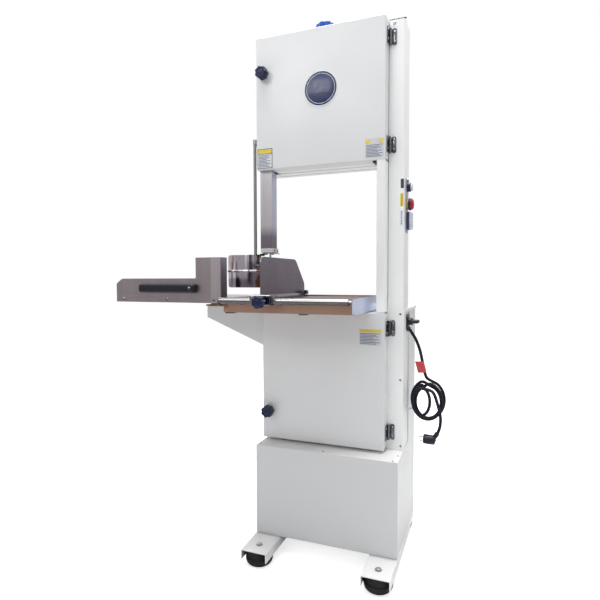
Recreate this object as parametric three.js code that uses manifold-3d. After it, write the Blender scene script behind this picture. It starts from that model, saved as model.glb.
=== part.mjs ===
// Butcher's bone saw: a floor-standing band saw with a 400 mm wheel above and below a steel table.
// Millimetres. +X to the operator's right, +Y away from the operator, +Z up, floor at z = 0.
// While building, x = 0 is the doors' hinge side and y = 0 the doors' front face; the last lines
// move the whole saw so that the origin is the middle of its footprint on the floor.
import * as THREE from 'three';
import { mergeVertices } from 'three/addons/utils/BufferGeometryUtils.js';
import Module from 'manifold-3d';

const wasm = await Module();
wasm.setup();

// ---------- driving dimensions ----------
const GAP = 0.3; // clearance between neighbouring pieces
const SHEET = 2.5; // housing sheet
const WHEEL_R = 200;
const WHEEL_X = -215.5;
const UPPER_WHEEL_Z = 1525;
const LOWER_WHEEL_Z = 579;
const WHEEL_Y = [42, 66];
const BLADE_Y = [44, 60];
const BLADE_T = 0.6;
const RETURN_SLOT_X = [-26, -6]; // openings for the blade's upward run

const UPPER_X = [-442, 0];
const UPPER_Z = [1292, 1736];
const LOWER_X = [-422.6, 51.6];
const LOWER_Z = [360.3, 813];
const LEDGE_Z = 824; // top of the lower housing beside the chamber, where the column stands
const DOOR_DEPTH = 52.2;
const HOUSING_Y = [DOOR_DEPTH + GAP, 151.5];
const COLUMN_X = [GAP, 51];
const CABINET_Y = [HOUSING_Y[1] + GAP, 307];
const CABINET_TOP = 812;
const BASE_X = [-423, 54.4];
const BASE_FRONT = -57.5;
const BASE_Z = [58, 360];

const CHANNEL_W = 88;
const CHANNEL_Z = [27, BASE_Z[0] - GAP];
const CHANNEL_Y = [-173, 307];
const CHANNEL_SHEET = 3;
const FOOT_Y = [-127.5, 262];
const FOOT_R = 40;

const TABLE_X = [-477, -50];
const TABLE_Y = [-175, 145];
const TABLE_Z = [816, 859];
const TABLE_SHEET = 2.5;
const TABLE_EDGE_Z = 863; // the raised right side and rear edge of the table
const RAIL_X = [-478, -62];
const RAIL_Y = -197;
const RAIL_Z = 853.5;
const RAIL_R = 9.5;

const FENCE_X = -335;
const FENCE_SHEET = 3;
const CLAMP_X = [-365, -300];
const CLAMP_Y = [-214, -180];
const CLAMP_Z = [841.5, 873];
const FENCE_KNOB = { x: -323, z: 852, r: 20 };

const GUARD_Y = -150;
const CARRIAGE_X = [-915, -484];
const CARRIAGE_Y = [GUARD_Y + 8.2, 190];
const RAIL_LINES_X = [-650, -520];
const RAIL_ROD_Z = 849;
const RAIL_ROD_R = 6;
const BEARING_PLATE_X = [-680, -480];
const BRACKET_X = [-676, LOWER_X[0] - GAP];
const BRACKET_TOP = 820;

const HINGE_AXIS = [6, 46];
const HINGE_H = 52;
const UPPER_HINGES_Z = [1683, 1346];
const LOWER_HINGES_Z = [760, 420];

const GUIDE_X = [-438, -394];
const GUIDE_BOTTOM = 1009;
const PUSHER_X = [-578, -446];
const PUSHER_Z = [889.5, 1007];
const SHAFT_R = 12.5;
const PULLEY_Y = [212, 238];
const WHEEL_PULLEY_R = 85;
const MOTOR_PULLEY_R = 55;
const MOTOR_Z = 176;
const MOTOR_R = 72;

const TENSION = { x: -221.5, y: 84 };
const TENSION_GRIP_Z = [1751, 1779];
const UPPER_KNOB = { x: -412, z: 1607.5, r: 21 };
const LOWER_KNOB = { x: -397, z: 467, r: 21 };
const STRIP_X = [COLUMN_X[1] + GAP, 53.8];
const STRIP_Y = [80, 120];
const STRIP_Z = [1069, 1249];
const RESET_Z = 1217.7;
const ESTOP_Z = 1162.3;
const START_Z = 1122.5;
const STOP_Z = 1094.5;
const SWITCH = { y: 128, z: 777, halfWidth: 22, halfHeight: 24 };
const CABLE_R = 5;
const LOOP_PITCH = 10.8;
// The coiled cable's loops, outermost first: middle and half-widths across and up.
const LOOPS = [
  { x: 120.6, z: 514.8, rx: 52.8, rz: 63.8 },
  { x: 122.5, z: 508.5, rx: 41.5, rz: 54 },
  { x: 120.5, z: 512, rx: 47.5, rz: 59.5 },
  { x: 103, z: 513, rx: 26.5, rz: 45.5 },
];

// ---------- finishes ----------
const finish = (color, roughness, metalness) =>
  new THREE.MeshStandardMaterial({ color, roughness, metalness });
const WHITE = finish(0xeceded, 0.35, 0);
const STEEL = finish(0x8c8688, 0.35, 1);
const POLISHED = finish(0xc8c8cc, 0.12, 1);
const CAST = finish(0x6b6d70, 0.6, 0.8);
const RUBBER = finish(0x111112, 0.8, 0);
const BLACK = finish(0x17181c, 0.45, 0);
const NAVY = finish(0x161c33, 0.4, 0);
const BLUE = finish(0x2a63b4, 0.35, 0);
const RED = finish(0xb3202a, 0.35, 0);
const GREEN = finish(0x2c8a4a, 0.4, 0);
const NYLON = finish(0xf0f0ee, 0.5, 0);
const BROWN_STEEL = finish(0xa07a66, 0.3, 1);

// ---------- solids ----------
function solid(geometry) {
  const bare = geometry.clone();
  bare.deleteAttribute('normal');
  bare.deleteAttribute('uv');
  const merged = mergeVertices(bare, 1e-4);
  const corners = merged.index.array;
  const kept = [];
  for (let i = 0; i < corners.length; i += 3) {
    const [a, b, c] = [corners[i], corners[i + 1], corners[i + 2]];
    if (a !== b && b !== c && a !== c) kept.push(a, b, c);
  }
  const vertProperties = new Float32Array(merged.attributes.position.array);
  if (signedVolume(vertProperties, kept) < 0) kept.reverse();
  return new wasm.Manifold(new wasm.Mesh({
    numProp: 3,
    vertProperties,
    triVerts: new Uint32Array(kept),
  }));
}

function signedVolume(points, triangles) {
  const [a, b, c] = [new THREE.Vector3(), new THREE.Vector3(), new THREE.Vector3()];
  let volume = 0;
  for (let i = 0; i < triangles.length; i += 3) {
    a.fromArray(points, triangles[i] * 3);
    b.fromArray(points, triangles[i + 1] * 3);
    c.fromArray(points, triangles[i + 2] * 3);
    volume += a.dot(b.cross(c));
  }
  return volume;
}

const join = (first, ...rest) => rest.reduce((whole, piece) => whole.add(piece), first);
const cut = (first, ...rest) => rest.reduce((whole, piece) => whole.subtract(piece), first);

function block([x0, x1], [y0, y1], [z0, z1]) {
  const geometry = new THREE.BoxGeometry(x1 - x0, y1 - y0, z1 - z0);
  return solid(geometry.translate((x0 + x1) / 2, (y0 + y1) / 2, (z0 + z1) / 2));
}

function rod(from, to, radius, segments = 16) {
  const start = new THREE.Vector3(...from);
  const along = new THREE.Vector3(...to).sub(start);
  const geometry = new THREE.CylinderGeometry(radius, radius, along.length(), segments);
  geometry.translate(0, along.length() / 2, 0);
  const up = new THREE.Vector3(0, 1, 0);
  geometry.applyQuaternion(new THREE.Quaternion().setFromUnitVectors(up, along.clone().normalize()));
  return solid(geometry.translate(start.x, start.y, start.z));
}

// Turns a profile drawn in x, y into one drawn in x, z whose depth ends at y1.
const uprightXZ = (geometry, y1) => geometry.rotateX(Math.PI / 2).translate(0, y1, 0);
// Turns a profile drawn in x, y into one drawn in y, z that grows towards +x from x0.
const uprightYZ = (geometry, x0) => geometry.applyMatrix4(
  new THREE.Matrix4().set(0, 0, 1, x0, 1, 0, 0, 0, 0, 1, 0, 0, 0, 0, 0, 1));

function outline(points) {
  return new THREE.Shape(points.map(([x, y]) => new THREE.Vector2(x, y)));
}

// A polygon with each corner rounded by the radius given beside it.
function roundedOutline(corners) {
  const shape = new THREE.Shape();
  corners.forEach(([x, y, radius = 0], i) => {
    const here = new THREE.Vector2(x, y);
    const before = new THREE.Vector2(...corners[(i + corners.length - 1) % corners.length]);
    const after = new THREE.Vector2(...corners[(i + 1) % corners.length]);
    const enter = here.clone().add(before.sub(here).setLength(radius));
    const leave = here.clone().add(after.sub(here).setLength(radius));
    if (i === 0) shape.moveTo(enter.x, enter.y);
    else shape.lineTo(enter.x, enter.y);
    if (radius > 0) shape.quadraticCurveTo(x, y, leave.x, leave.y);
  });
  return shape;
}

const roundedBox = ([x0, x1], [z0, z1], r) =>
  roundedOutline([[x0, z0, r], [x1, z0, r], [x1, z1, r], [x0, z1, r]]);

function slab(shape, depth, bevel = 0, curveSegments = 3) {
  return new THREE.ExtrudeGeometry(shape, {
    depth: depth - 2 * bevel,
    bevelEnabled: bevel > 0,
    bevelThickness: bevel,
    bevelSize: bevel,
    bevelOffset: -bevel,
    bevelSegments: 1,
    curveSegments,
  }).translate(0, 0, bevel);
}

const plateXZ = (shape, [y0, y1], bevel) => solid(uprightXZ(slab(shape, y1 - y0, bevel), y1));
const plateYZ = (shape, [x0, x1], bevel) => solid(uprightYZ(slab(shape, x1 - x0, bevel), x0));
const plateXY = (shape, [z0, z1], bevel) => solid(slab(shape, z1 - z0, bevel).translate(0, 0, z0));

// A turned solid about a line along Y through (x, z): the profile is [radius, y] pairs.
function turnedY(profile, x, z, segments) {
  const points = profile.map(([r, y]) => new THREE.Vector2(r, y));
  return solid(new THREE.LatheGeometry(points, segments).translate(x, 0, z));
}

// A sheet of constant thickness folded along a plan line, standing from z0 to z1.
function foldedSheet(path, thickness, [z0, z1]) {
  const points = path.map(([x, y]) => new THREE.Vector2(x, y));
  const side = (offset) => points.map((p, i) => {
    const before = points[Math.max(i - 1, 0)];
    const after = points[Math.min(i + 1, points.length - 1)];
    const u = (i > 0 ? p.clone().sub(before) : after.clone().sub(p)).normalize();
    const v = (i < points.length - 1 ? after.clone().sub(p) : p.clone().sub(before)).normalize();
    const normal = new THREE.Vector2(-(u.y + v.y), u.x + v.x).normalize();
    const stretch = offset / (normal.x * -u.y + normal.y * u.x);
    return p.clone().addScaledVector(normal, stretch);
  });
  const shape = new THREE.Shape([...side(0), ...side(thickness).reverse()]);
  return plateXY(shape, [z0, z1]);
}

const saw = new THREE.Group();

function part(name, material, body) {
  const mesh = body.getMesh();
  const geometry = new THREE.BufferGeometry();
  geometry.setAttribute('position', new THREE.BufferAttribute(new Float32Array(mesh.vertProperties), 3));
  geometry.setIndex(new THREE.BufferAttribute(new Uint32Array(mesh.triVerts), 1));
  geometry.computeVertexNormals();
  const piece = new THREE.Mesh(geometry, material);
  piece.name = name;
  saw.add(piece);
}

// ---------- frame: housings, column, cabinet, base, feet ----------
// A folded sheet box, open at the front, with rounded outer edges.
function openBox(xs, zs, [y0, y1]) {
  const inner = [[xs[0] + SHEET, xs[1] - SHEET], [zs[0] + SHEET, zs[1] - SHEET]];
  return cut(
    plateXZ(roundedBox(xs, zs, 4), [y0, y1]),
    plateXZ(roundedBox(...inner, 2), [y0 - 10, y1 - SHEET]),
  );
}

function buildUpperHousing() {
  const floor = [UPPER_Z[0] - 5, UPPER_Z[0] + 5];
  const wallHole = { y: 62, z: 1397, r: 6 };
  part('upper_housing', WHITE, cut(
    openBox(UPPER_X, UPPER_Z, HOUSING_Y),
    block([GUIDE_X[0] - 0.9, GUIDE_X[1] + 3], [40, 95], floor),
    block(RETURN_SLOT_X, [40, 70], floor),
    rod([TENSION.x, TENSION.y, 1720], [TENSION.x, TENSION.y, 1745], 9),
    rod([-450, wallHole.y, wallHole.z], [-430, wallHole.y, wallHole.z], wallHole.r),
  ));
}

function buildColumn() {
  part('column', WHITE, cut(
    plateXY(roundedBox(COLUMN_X, HOUSING_Y, 3), [LEDGE_Z + GAP, UPPER_Z[1]]),
    block([COLUMN_X[0] + SHEET, COLUMN_X[1] - SHEET], [HOUSING_Y[0] + SHEET, HOUSING_Y[1] - SHEET],
      [LEDGE_Z - 5, UPPER_Z[1] - SHEET]),
  ));
  const guardX = [-26.5, -GAP];
  part('return_blade_guard', WHITE, cut(
    plateXY(roundedBox(guardX, [0, 100], 2.5), [LOWER_Z[1] + GAP, UPPER_Z[0] - GAP]),
    block([guardX[0] + 1.5, guardX[1] - 1.5], [1.5, 98.5], [LOWER_Z[1] - 5, UPPER_Z[0] + 5]),
  ));
}

function buildLowerHousing() {
  const roof = [LOWER_Z[1] - 5, LOWER_Z[1] + 5];
  const side = join(
    openBox([LOWER_X[0], 0], LOWER_Z, HOUSING_Y),
    block([-SHEET, 10], HOUSING_Y, LOWER_Z),
    block([0, LOWER_X[1]], HOUSING_Y, [LOWER_Z[0], LEDGE_Z]),
  );
  part('lower_housing', WHITE, cut(
    side,
    block([SHEET, LOWER_X[1] - SHEET], [HOUSING_Y[0] + SHEET, HOUSING_Y[1] - SHEET],
      [LOWER_Z[0] + SHEET, LEDGE_Z + 5]),
    block([-419.5, -405], [40, 75], roof),
    block(RETURN_SLOT_X, [40, 70], roof),
    rod([WHEEL_X, 145, LOWER_WHEEL_Z], [WHEEL_X, 155, LOWER_WHEEL_Z], SHAFT_R + 2),
  ));
}

function buildCabinet() {
  const [x0, x1] = [LOWER_X[0], BASE_X[1]];
  const rear = CABINET_Y[1];
  const roomX = [x0 + SHEET, x1 - SHEET];
  const roomZ = [BASE_Z[0] + SHEET, BASE_Z[1] - SHEET];
  const vents = [];
  const ventRows = 8;
  const ventPitch = 26;
  const ventHeight = 8;
  for (let row = 0; row < ventRows; row += 1) {
    const z = 440 + row * ventPitch;
    vents.push(block([-320, -50], [rear - 10, rear + 10], [z, z + ventHeight]));
  }
  part('motor_cabinet', WHITE, cut(
    join(
      plateXY(roundedBox([x0, x1], CABINET_Y, 3), [BASE_Z[0], CABINET_TOP]),
      block([x0, x1], [HOUSING_Y[0], rear - 50], BASE_Z),
    ),
    block(roomX, [CABINET_Y[0] + SHEET, rear - SHEET], [roomZ[0], CABINET_TOP + 5]),
    block(roomX, [HOUSING_Y[0] - 10, rear - SHEET], roomZ),
    rod([WHEEL_X, 145, LOWER_WHEEL_Z], [WHEEL_X, 160, LOWER_WHEEL_Z], SHAFT_R + 2),
    ...vents,
  ));
  const lidZ = [CABINET_TOP + GAP, 822];
  part('motor_cabinet_lid', WHITE, join(
    plateXY(roundedBox([x0 - 1.5, 57], [CABINET_Y[0] + 0.2, rear + 2], 3), lidZ),
    block([LOWER_X[1] + GAP, 57], [84, CABINET_Y[0] + 5], lidZ),
  ));
  part('base_cabinet', WHITE, cut(
    plateXZ(roundedBox(BASE_X, BASE_Z, 3), [BASE_FRONT, HOUSING_Y[0] - GAP]),
    block([BASE_X[0] + SHEET, BASE_X[1] - SHEET], [BASE_FRONT + SHEET, HOUSING_Y[0] + 5],
      [BASE_Z[0] + SHEET, BASE_Z[1] - SHEET]),
  ));
}

function buildFeet() {
  const sides = { left: BASE_X[0], right: BASE_X[1] - CHANNEL_W };
  for (const [side, x0] of Object.entries(sides)) {
    const x1 = x0 + CHANNEL_W;
    const middle = (x0 + x1) / 2;
    const holes = FOOT_Y.map((y) => rod([middle, y, 40], [middle, y, 70], 7));
    const [z0, z1] = CHANNEL_Z;
    part(`${side}_foot_channel`, WHITE, cut(
      plateXZ(roundedOutline([[x0, z0], [x1, z0], [x1, z1, 3], [x0, z1, 3]]), CHANNEL_Y),
      block([x0 + CHANNEL_SHEET, x1 - CHANNEL_SHEET], [CHANNEL_Y[0] - 5, CHANNEL_Y[1] + 5],
        [z0 - 5, z1 - CHANNEL_SHEET]),
      ...holes,
    ));
    ['front', 'rear'].forEach((end, i) => {
      const top = z1 - CHANNEL_SHEET - GAP;
      const profile = [[0, 0], [27, 0], [35, 3], [41, 9], [44, 18], [44, 26], [FOOT_R, 26.7],
        [FOOT_R, top], [0, top]];
      const points = profile.map(([r, z]) => new THREE.Vector2(r, z));
      const shape = new THREE.LatheGeometry(points, 24).rotateX(Math.PI / 2);
      part(`rubber_foot_${end}_${side}`, RUBBER, solid(shape.translate(middle, FOOT_Y[i], 0)));
    });
  }
}

// ---------- doors, hinges, knobs ----------
function doorPan(xs, zs, notches) {
  const sheet = 2;
  const bevel = 2;
  const outer = plateXZ(roundedBox(xs, zs, 4), [0, DOOR_DEPTH + 10], bevel);
  const inside = plateXZ(roundedBox([xs[0] + sheet, xs[1] - sheet], [zs[0] + sheet, zs[1] - sheet], 3),
    [sheet, DOOR_DEPTH + 20]);
  const behind = block([xs[0] - 5, xs[1] + 5], [DOOR_DEPTH, DOOR_DEPTH + 30], [zs[0] - 5, zs[1] + 5]);
  return cut(outer, inside, behind, ...notches);
}

// The lobed outline of a hand knob.
function lobedOutline(radius, lobes = 7) {
  const points = [];
  for (let i = 0; i < lobes * 4; i += 1) {
    const angle = (i / (lobes * 4)) * 2 * Math.PI;
    const r = radius * (0.93 + 0.07 * Math.cos(lobes * angle));
    points.push([r * Math.cos(angle), r * Math.sin(angle)]);
  }
  return outline(points);
}

// A hand knob whose stud points towards +Y: y0 is the front of the grip.
function handKnob({ x, z, r }, [y0, y1], studEnd) {
  const skirtDepth = 6;
  const edge = 3;
  const studR = 5;
  const grip = slab(lobedOutline(r), y1 - y0 - skirtDepth, edge);
  return join(
    solid(uprightXZ(grip, y1 - skirtDepth).translate(x, 0, z)),
    rod([x, y1 - skirtDepth - 2, z], [x, y1, z], r * 0.55, 20),
    rod([x, y1 - skirtDepth - 2, z], [x, studEnd, z], studR),
  );
}

function buildDoors() {
  const bladeNotch = (z, left) => [
    block([left, -391], [18, 60], [z - 5, z + 5]),
    block([-45, 5], [15, 60], [z - 5, z + 5]),
  ];
  const studHole = ({ x, z }) => rod([x, -5, z], [x, 10, z], 6);
  const upperZ = [UPPER_Z[0], 1733];
  const lowerZ = [370, LOWER_Z[1]];
  part('upper_door', WHITE, doorPan(UPPER_X, upperZ,
    [...bladeNotch(upperZ[0], UPPER_X[0] + 2), studHole(UPPER_KNOB)]));
  part('lower_door', WHITE, doorPan([LOWER_X[0], 0], lowerZ,
    [...bladeNotch(lowerZ[1], LOWER_X[0] + 2), studHole(LOWER_KNOB)]));
  const grip = [-34, -GAP];
  part('upper_door_knob', NAVY, handKnob(UPPER_KNOB, grip, 40));
  part('lower_door_knob', NAVY, handKnob(LOWER_KNOB, grip, 40));
}

// One lift-off hinge: a leaf and pin on the frame, a leaf and socket on the door.
function buildHinge(name, middle) {
  const [ax, ay] = HINGE_AXIS;
  const [z0, z1] = [middle - HINGE_H / 2, middle + HINGE_H / 2];
  const knuckleR = 4.5;
  const pinR = 2.4;
  const leafY = [HOUSING_Y[0] - 2.8, HOUSING_Y[0] - GAP];
  const leafX = [GAP, 2.8];
  const leaf = ([inner, outer]) =>
    roundedOutline([[inner, z0, 5], [outer, z0, 9], [outer, z1, 9], [inner, z1, 5]]);
  part(`${name}_frame_leaf`, POLISHED, join(
    plateXZ(leaf([ax + 5, ax + 19]), leafY),
    block([ax, ax + 7], leafY, [z0 + 5, middle - GAP]),
    rod([ax, ay, z0], [ax, ay, middle - GAP], knuckleR, 16),
    rod([ax, ay, middle - 2], [ax, ay, z1 - 3], pinR, 12),
  ));
  part(`${name}_door_leaf`, POLISHED, cut(
    join(
      plateYZ(leaf([ay - 6, ay - 26]), leafX),
      block(leafX, [ay - 8, ay], [middle, z1 - 5]),
      rod([ax, ay, middle], [ax, ay, z1], knuckleR, 16),
    ),
    rod([ax, ay, middle - 5], [ax, ay, z1 + 5], pinR + 0.5, 12),
  ));
}

// ---------- wheels, blade and drive ----------
function spokedWheel(z, hubY, boreR) {
  const flangeY = [BLADE_Y[1] + 0.5, WHEEL_Y[1]];
  const rim = [[WHEEL_R - 16, WHEEL_Y[0]], [WHEEL_R, WHEEL_Y[0]], [WHEEL_R, flangeY[0]],
    [WHEEL_R + 3, flangeY[0]], [WHEEL_R + 3, flangeY[1]], [WHEEL_R - 16, flangeY[1]],
    [WHEEL_R - 16, WHEEL_Y[0]]];
  const hubR = 30;
  const spokeCount = 5;
  const [spokeStart, spokeEnd] = [hubR - 4, WHEEL_R - 14];
  const spokes = [];
  for (let i = 0; i < spokeCount; i += 1) {
    const spoke = new THREE.BoxGeometry(spokeEnd - spokeStart, 12, 30);
    spoke.translate((spokeStart + spokeEnd) / 2, (WHEEL_Y[0] + WHEEL_Y[1]) / 2, 0);
    spoke.rotateY((i / spokeCount) * 2 * Math.PI + Math.PI / 2);
    spokes.push(solid(spoke.translate(WHEEL_X, 0, z)));
  }
  const hub = rod([WHEEL_X, hubY[0], z], [WHEEL_X, hubY[1], z], hubR, 20);
  const bore = rod([WHEEL_X, hubY[0] - 5, z], [WHEEL_X, hubY[1] + 5, z], boreR, 20);
  return cut(join(turnedY(rim, WHEEL_X, z, 48), hub, ...spokes), bore);
}

// The loop of a belt round circles of radius ra (at za, above) and rb (at zb). Its corners stand
// a little proud, so that its flats stay outside both circles.
function loopOutline(za, ra, zb, rb, segments = 24) {
  const lean = Math.asin((ra - rb) / (za - zb));
  const points = [];
  const wrap = (z, r, start, turn) => {
    const proud = r / Math.cos(turn / segments / 2);
    for (let i = 0; i <= segments; i += 1) {
      const angle = start + (i / segments) * turn;
      points.push([WHEEL_X + proud * Math.cos(angle), z + proud * Math.sin(angle)]);
    }
  };
  wrap(za, ra, -lean, Math.PI + 2 * lean);
  wrap(zb, rb, Math.PI + lean, Math.PI - 2 * lean);
  return points;
}

function band(za, ra, zb, rb, thickness, ys) {
  const outer = outline(loopOutline(za, ra + thickness, zb, rb + thickness));
  outer.holes.push(new THREE.Path(
    loopOutline(za, ra, zb, rb).map(([x, z]) => new THREE.Vector2(x, z))));
  return plateXZ(outer, ys);
}

function pulley(z, r, [y0, y1], boreR) {
  const middle = (y0 + y1) / 2;
  const profile = [[boreR, y0], [r + 4, y0], [r + 4, y0 + 4], [r - 7, middle - 4], [r - 7, middle + 4],
    [r + 4, y1 - 4], [r + 4, y1], [boreR, y1], [boreR, y0]];
  return turnedY(profile, WHEEL_X, z, 28);
}

function buildWheels() {
  part('upper_wheel', CAST, spokedWheel(UPPER_WHEEL_Z, [31, 100], SHAFT_R + GAP));
  part('lower_wheel', CAST, spokedWheel(LOWER_WHEEL_Z, [31, 95], SHAFT_R + GAP));
  const bladeR = WHEEL_R + GAP;
  part('saw_blade', STEEL, band(UPPER_WHEEL_Z, bladeR, LOWER_WHEEL_Z, bladeR, BLADE_T, BLADE_Y));
}

function buildTension() {
  const z = UPPER_WHEEL_Z;
  part('tension_slide', STEEL, cut(
    join(
      block([WHEEL_X - 32, WHEEL_X + 32], [116, 146], [z - 45, z + 45]),
      block([TENSION.x - 18, TENSION.x + 18], [TENSION.y - 14, 118], [z + 35, z + 75]),
      block([TENSION.x - 18, TENSION.x + 18], [116, 130], [z + 40, z + 75]),
      rod([WHEEL_X, 26, z], [WHEEL_X, 118, z], SHAFT_R, 20),
      rod([WHEEL_X, 26, z], [WHEEL_X, 30.5, z], SHAFT_R + 6, 20),
    ),
    rod([TENSION.x, TENSION.y, z + 20], [TENSION.x, TENSION.y, z + 80], 7.5),
  ));
  const [gripZ, top] = TENSION_GRIP_Z;
  const onScrew = (height) => [TENSION.x, TENSION.y, height];
  part('tension_knob', BLUE, join(
    solid(slab(lobedOutline(32), top - gripZ, 4).translate(...onScrew(gripZ))),
    rod(onScrew(UPPER_Z[1] + GAP), onScrew(gripZ + 2), 17, 20),
    rod(onScrew(z + 42), onScrew(gripZ + 2), 6.5),
  ));
}

function buildDrive() {
  const z = LOWER_WHEEL_Z;
  part('drive_shaft', STEEL, join(
    rod([WHEEL_X, 26, z], [WHEEL_X, PULLEY_Y[1] + 8, z], SHAFT_R, 20),
    rod([WHEEL_X, 26, z], [WHEEL_X, 30.5, z], SHAFT_R + 6, 20),
    pulley(z, WHEEL_PULLEY_R, PULLEY_Y, SHAFT_R - 0.5),
  ));
  part('motor_pulley', CAST, join(
    pulley(MOTOR_Z, MOTOR_PULLEY_R, PULLEY_Y, 8),
    rod([WHEEL_X, 196, MOTOR_Z], [WHEEL_X, PULLEY_Y[1], MOTOR_Z], 9, 20),
  ));
  const beltY = [(PULLEY_Y[0] + PULLEY_Y[1]) / 2 - 3.5, (PULLEY_Y[0] + PULLEY_Y[1]) / 2 + 3.5];
  part('drive_belt', RUBBER, band(z, WHEEL_PULLEY_R - 6.5, MOTOR_Z, MOTOR_PULLEY_R - 6.5, 8, beltY));
  part('motor', CAST, cut(
    join(
      rod([WHEEL_X, 0, MOTOR_Z], [WHEEL_X, 190, MOTOR_Z], MOTOR_R, 32),
      rod([WHEEL_X, -18, MOTOR_Z], [WHEEL_X, 5, MOTOR_Z], MOTOR_R - 8, 32),
      rod([WHEEL_X, 185, MOTOR_Z], [WHEEL_X, 200, MOTOR_Z], 40, 32),
      block([WHEEL_X - 50, WHEEL_X + 50], [60, 150], [BASE_Z[0] + SHEET + GAP, MOTOR_Z - 40]),
      block([WHEEL_X - 95, WHEEL_X + 95], [60, 150], [BASE_Z[0] + SHEET + GAP, 70]),
      block([WHEEL_X + 40, WHEEL_X + 92], [50, 130], [MOTOR_Z - 10, MOTOR_Z + 55]),
    ),
    rod([WHEEL_X, 190, MOTOR_Z], [WHEEL_X, 210, MOTOR_Z], 12, 20),
  ));
}

// ---------- table, fence and rail ----------
function buildTable() {
  const rib = (x) => block([x, x + 8], [60, 140], [LOWER_Z[1] + GAP, TABLE_Z[1] - 1]);
  const [x0, x1] = [TABLE_X[0] + TABLE_SHEET, TABLE_X[1] - TABLE_SHEET];
  const [y0, y1] = [TABLE_Y[0] + TABLE_SHEET, TABLE_Y[1] - TABLE_SHEET];
  part('table_tray', BROWN_STEEL, cut(
    join(
      cut(
        plateXY(roundedBox(TABLE_X, TABLE_Y, 3), TABLE_Z),
        block([x0, x1], [y0, y1], [TABLE_Z[0] - 5, TABLE_Z[1] - TABLE_SHEET]),
      ),
      block([x1, TABLE_X[1]], [RAIL_Y - RAIL_R, TABLE_Y[1]], [TABLE_Z[0] + 3, TABLE_EDGE_Z]),
      block([TABLE_X[0] + 3, TABLE_X[1]], [y1, TABLE_Y[1]], [TABLE_Z[1] - 5, TABLE_EDGE_Z]),
      rib(-390),
      rib(-120),
    ),
    block([-421, -410], [34, 72], [TABLE_Z[1] - 10, TABLE_Z[1] + 5]),
    block([TABLE_X[0] - 5, -412], [51, 54], [TABLE_Z[0] - 5, TABLE_Z[1] + 2]),
  ));
  part('fence_rail', POLISHED, join(
    rod([RAIL_X[0], RAIL_Y, RAIL_Z], [RAIL_X[1], RAIL_Y, RAIL_Z], RAIL_R, 24),
    rod([RAIL_X[1] - 2, RAIL_Y, RAIL_Z], [x1 - GAP, RAIL_Y, RAIL_Z], 5, 16),
    block([RAIL_X[0] - 5, RAIL_X[0] + 10], [RAIL_Y - 8, TABLE_Y[0] - GAP], [RAIL_Z + 4, RAIL_Z + 8]),
    block([RAIL_X[0] - 5, RAIL_X[0] + 1], [RAIL_Y - 5, RAIL_Y + 5], [RAIL_Z - 17, RAIL_Z + 5]),
  ));
}

function buildFence() {
  const [left, right] = [FENCE_X - FENCE_SHEET / 2, FENCE_X + FENCE_SHEET / 2];
  const bendTop = 873;
  const footZ = [TABLE_Z[1] + 0.5, TABLE_Z[1] + 0.5 + FENCE_SHEET];
  const hookY = [TABLE_Y[1] + 4, TABLE_Y[1] + 8];
  const side = roundedOutline([[-200, bendTop - 1], [136, bendTop - 1], [136, 866, 2], [175, 866],
    [175, 904, 12], [86, 989, 14], [-200, 988, 22]]);
  // The sheet curves out to the right at the bottom and lies on the table.
  const bend = outline([[left, bendTop], [left + 0.6, 867], [left + 3.5, 862.5], [left + 9, footZ[0]],
    [right + 18, footZ[0]], [right + 18, footZ[1]], [right + 8, footZ[1]], [right + 3, 865],
    [right + 0.6, 868.5], [right, bendTop]]);
  const keepOut = block([CLAMP_X[0] - GAP, CLAMP_X[1] + 15 + GAP], [CLAMP_Y[0] - 5, CLAMP_Y[1] + GAP],
    [CLAMP_Z[0] - 5, CLAMP_Z[1] + GAP]);
  part('fence_plate', STEEL, cut(
    join(
      plateYZ(side, [left, right]),
      plateXZ(bend, [-200, 136]),
      block([left, right + 12], [130, hookY[1]], [TABLE_EDGE_Z + 3, TABLE_EDGE_Z + 6]),
      block([left, right + 12], hookY, [838, TABLE_EDGE_Z + 6]),
    ),
    keepOut,
  ));
  part('fence_clamp', POLISHED, cut(
    join(
      plateYZ(roundedBox(CLAMP_Y, CLAMP_Z, 3), CLAMP_X),
      block([CLAMP_X[1] - 1, CLAMP_X[1] + 5], [CLAMP_Y[0] + 2, CLAMP_Y[1] - 2],
        [CLAMP_Z[0] + 1, CLAMP_Z[1] - 1]),
      block([CLAMP_X[1], CLAMP_X[1] + 15], [CLAMP_Y[0] + 4, CLAMP_Y[1] - 4], [RAIL_Z + 4, CLAMP_Z[1] - 3]),
    ),
    rod([CLAMP_X[0] - 5, RAIL_Y, RAIL_Z], [CLAMP_X[1] + 20, RAIL_Y, RAIL_Z], RAIL_R + 0.5, 24),
    rod([FENCE_KNOB.x, CLAMP_Y[0] - 5, FENCE_KNOB.z], [FENCE_KNOB.x, RAIL_Y - RAIL_R, FENCE_KNOB.z], 5.6),
  ));
  part('fence_knob', NAVY, handKnob(FENCE_KNOB, [-252, -228], RAIL_Y - RAIL_R - 2));
}

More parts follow.
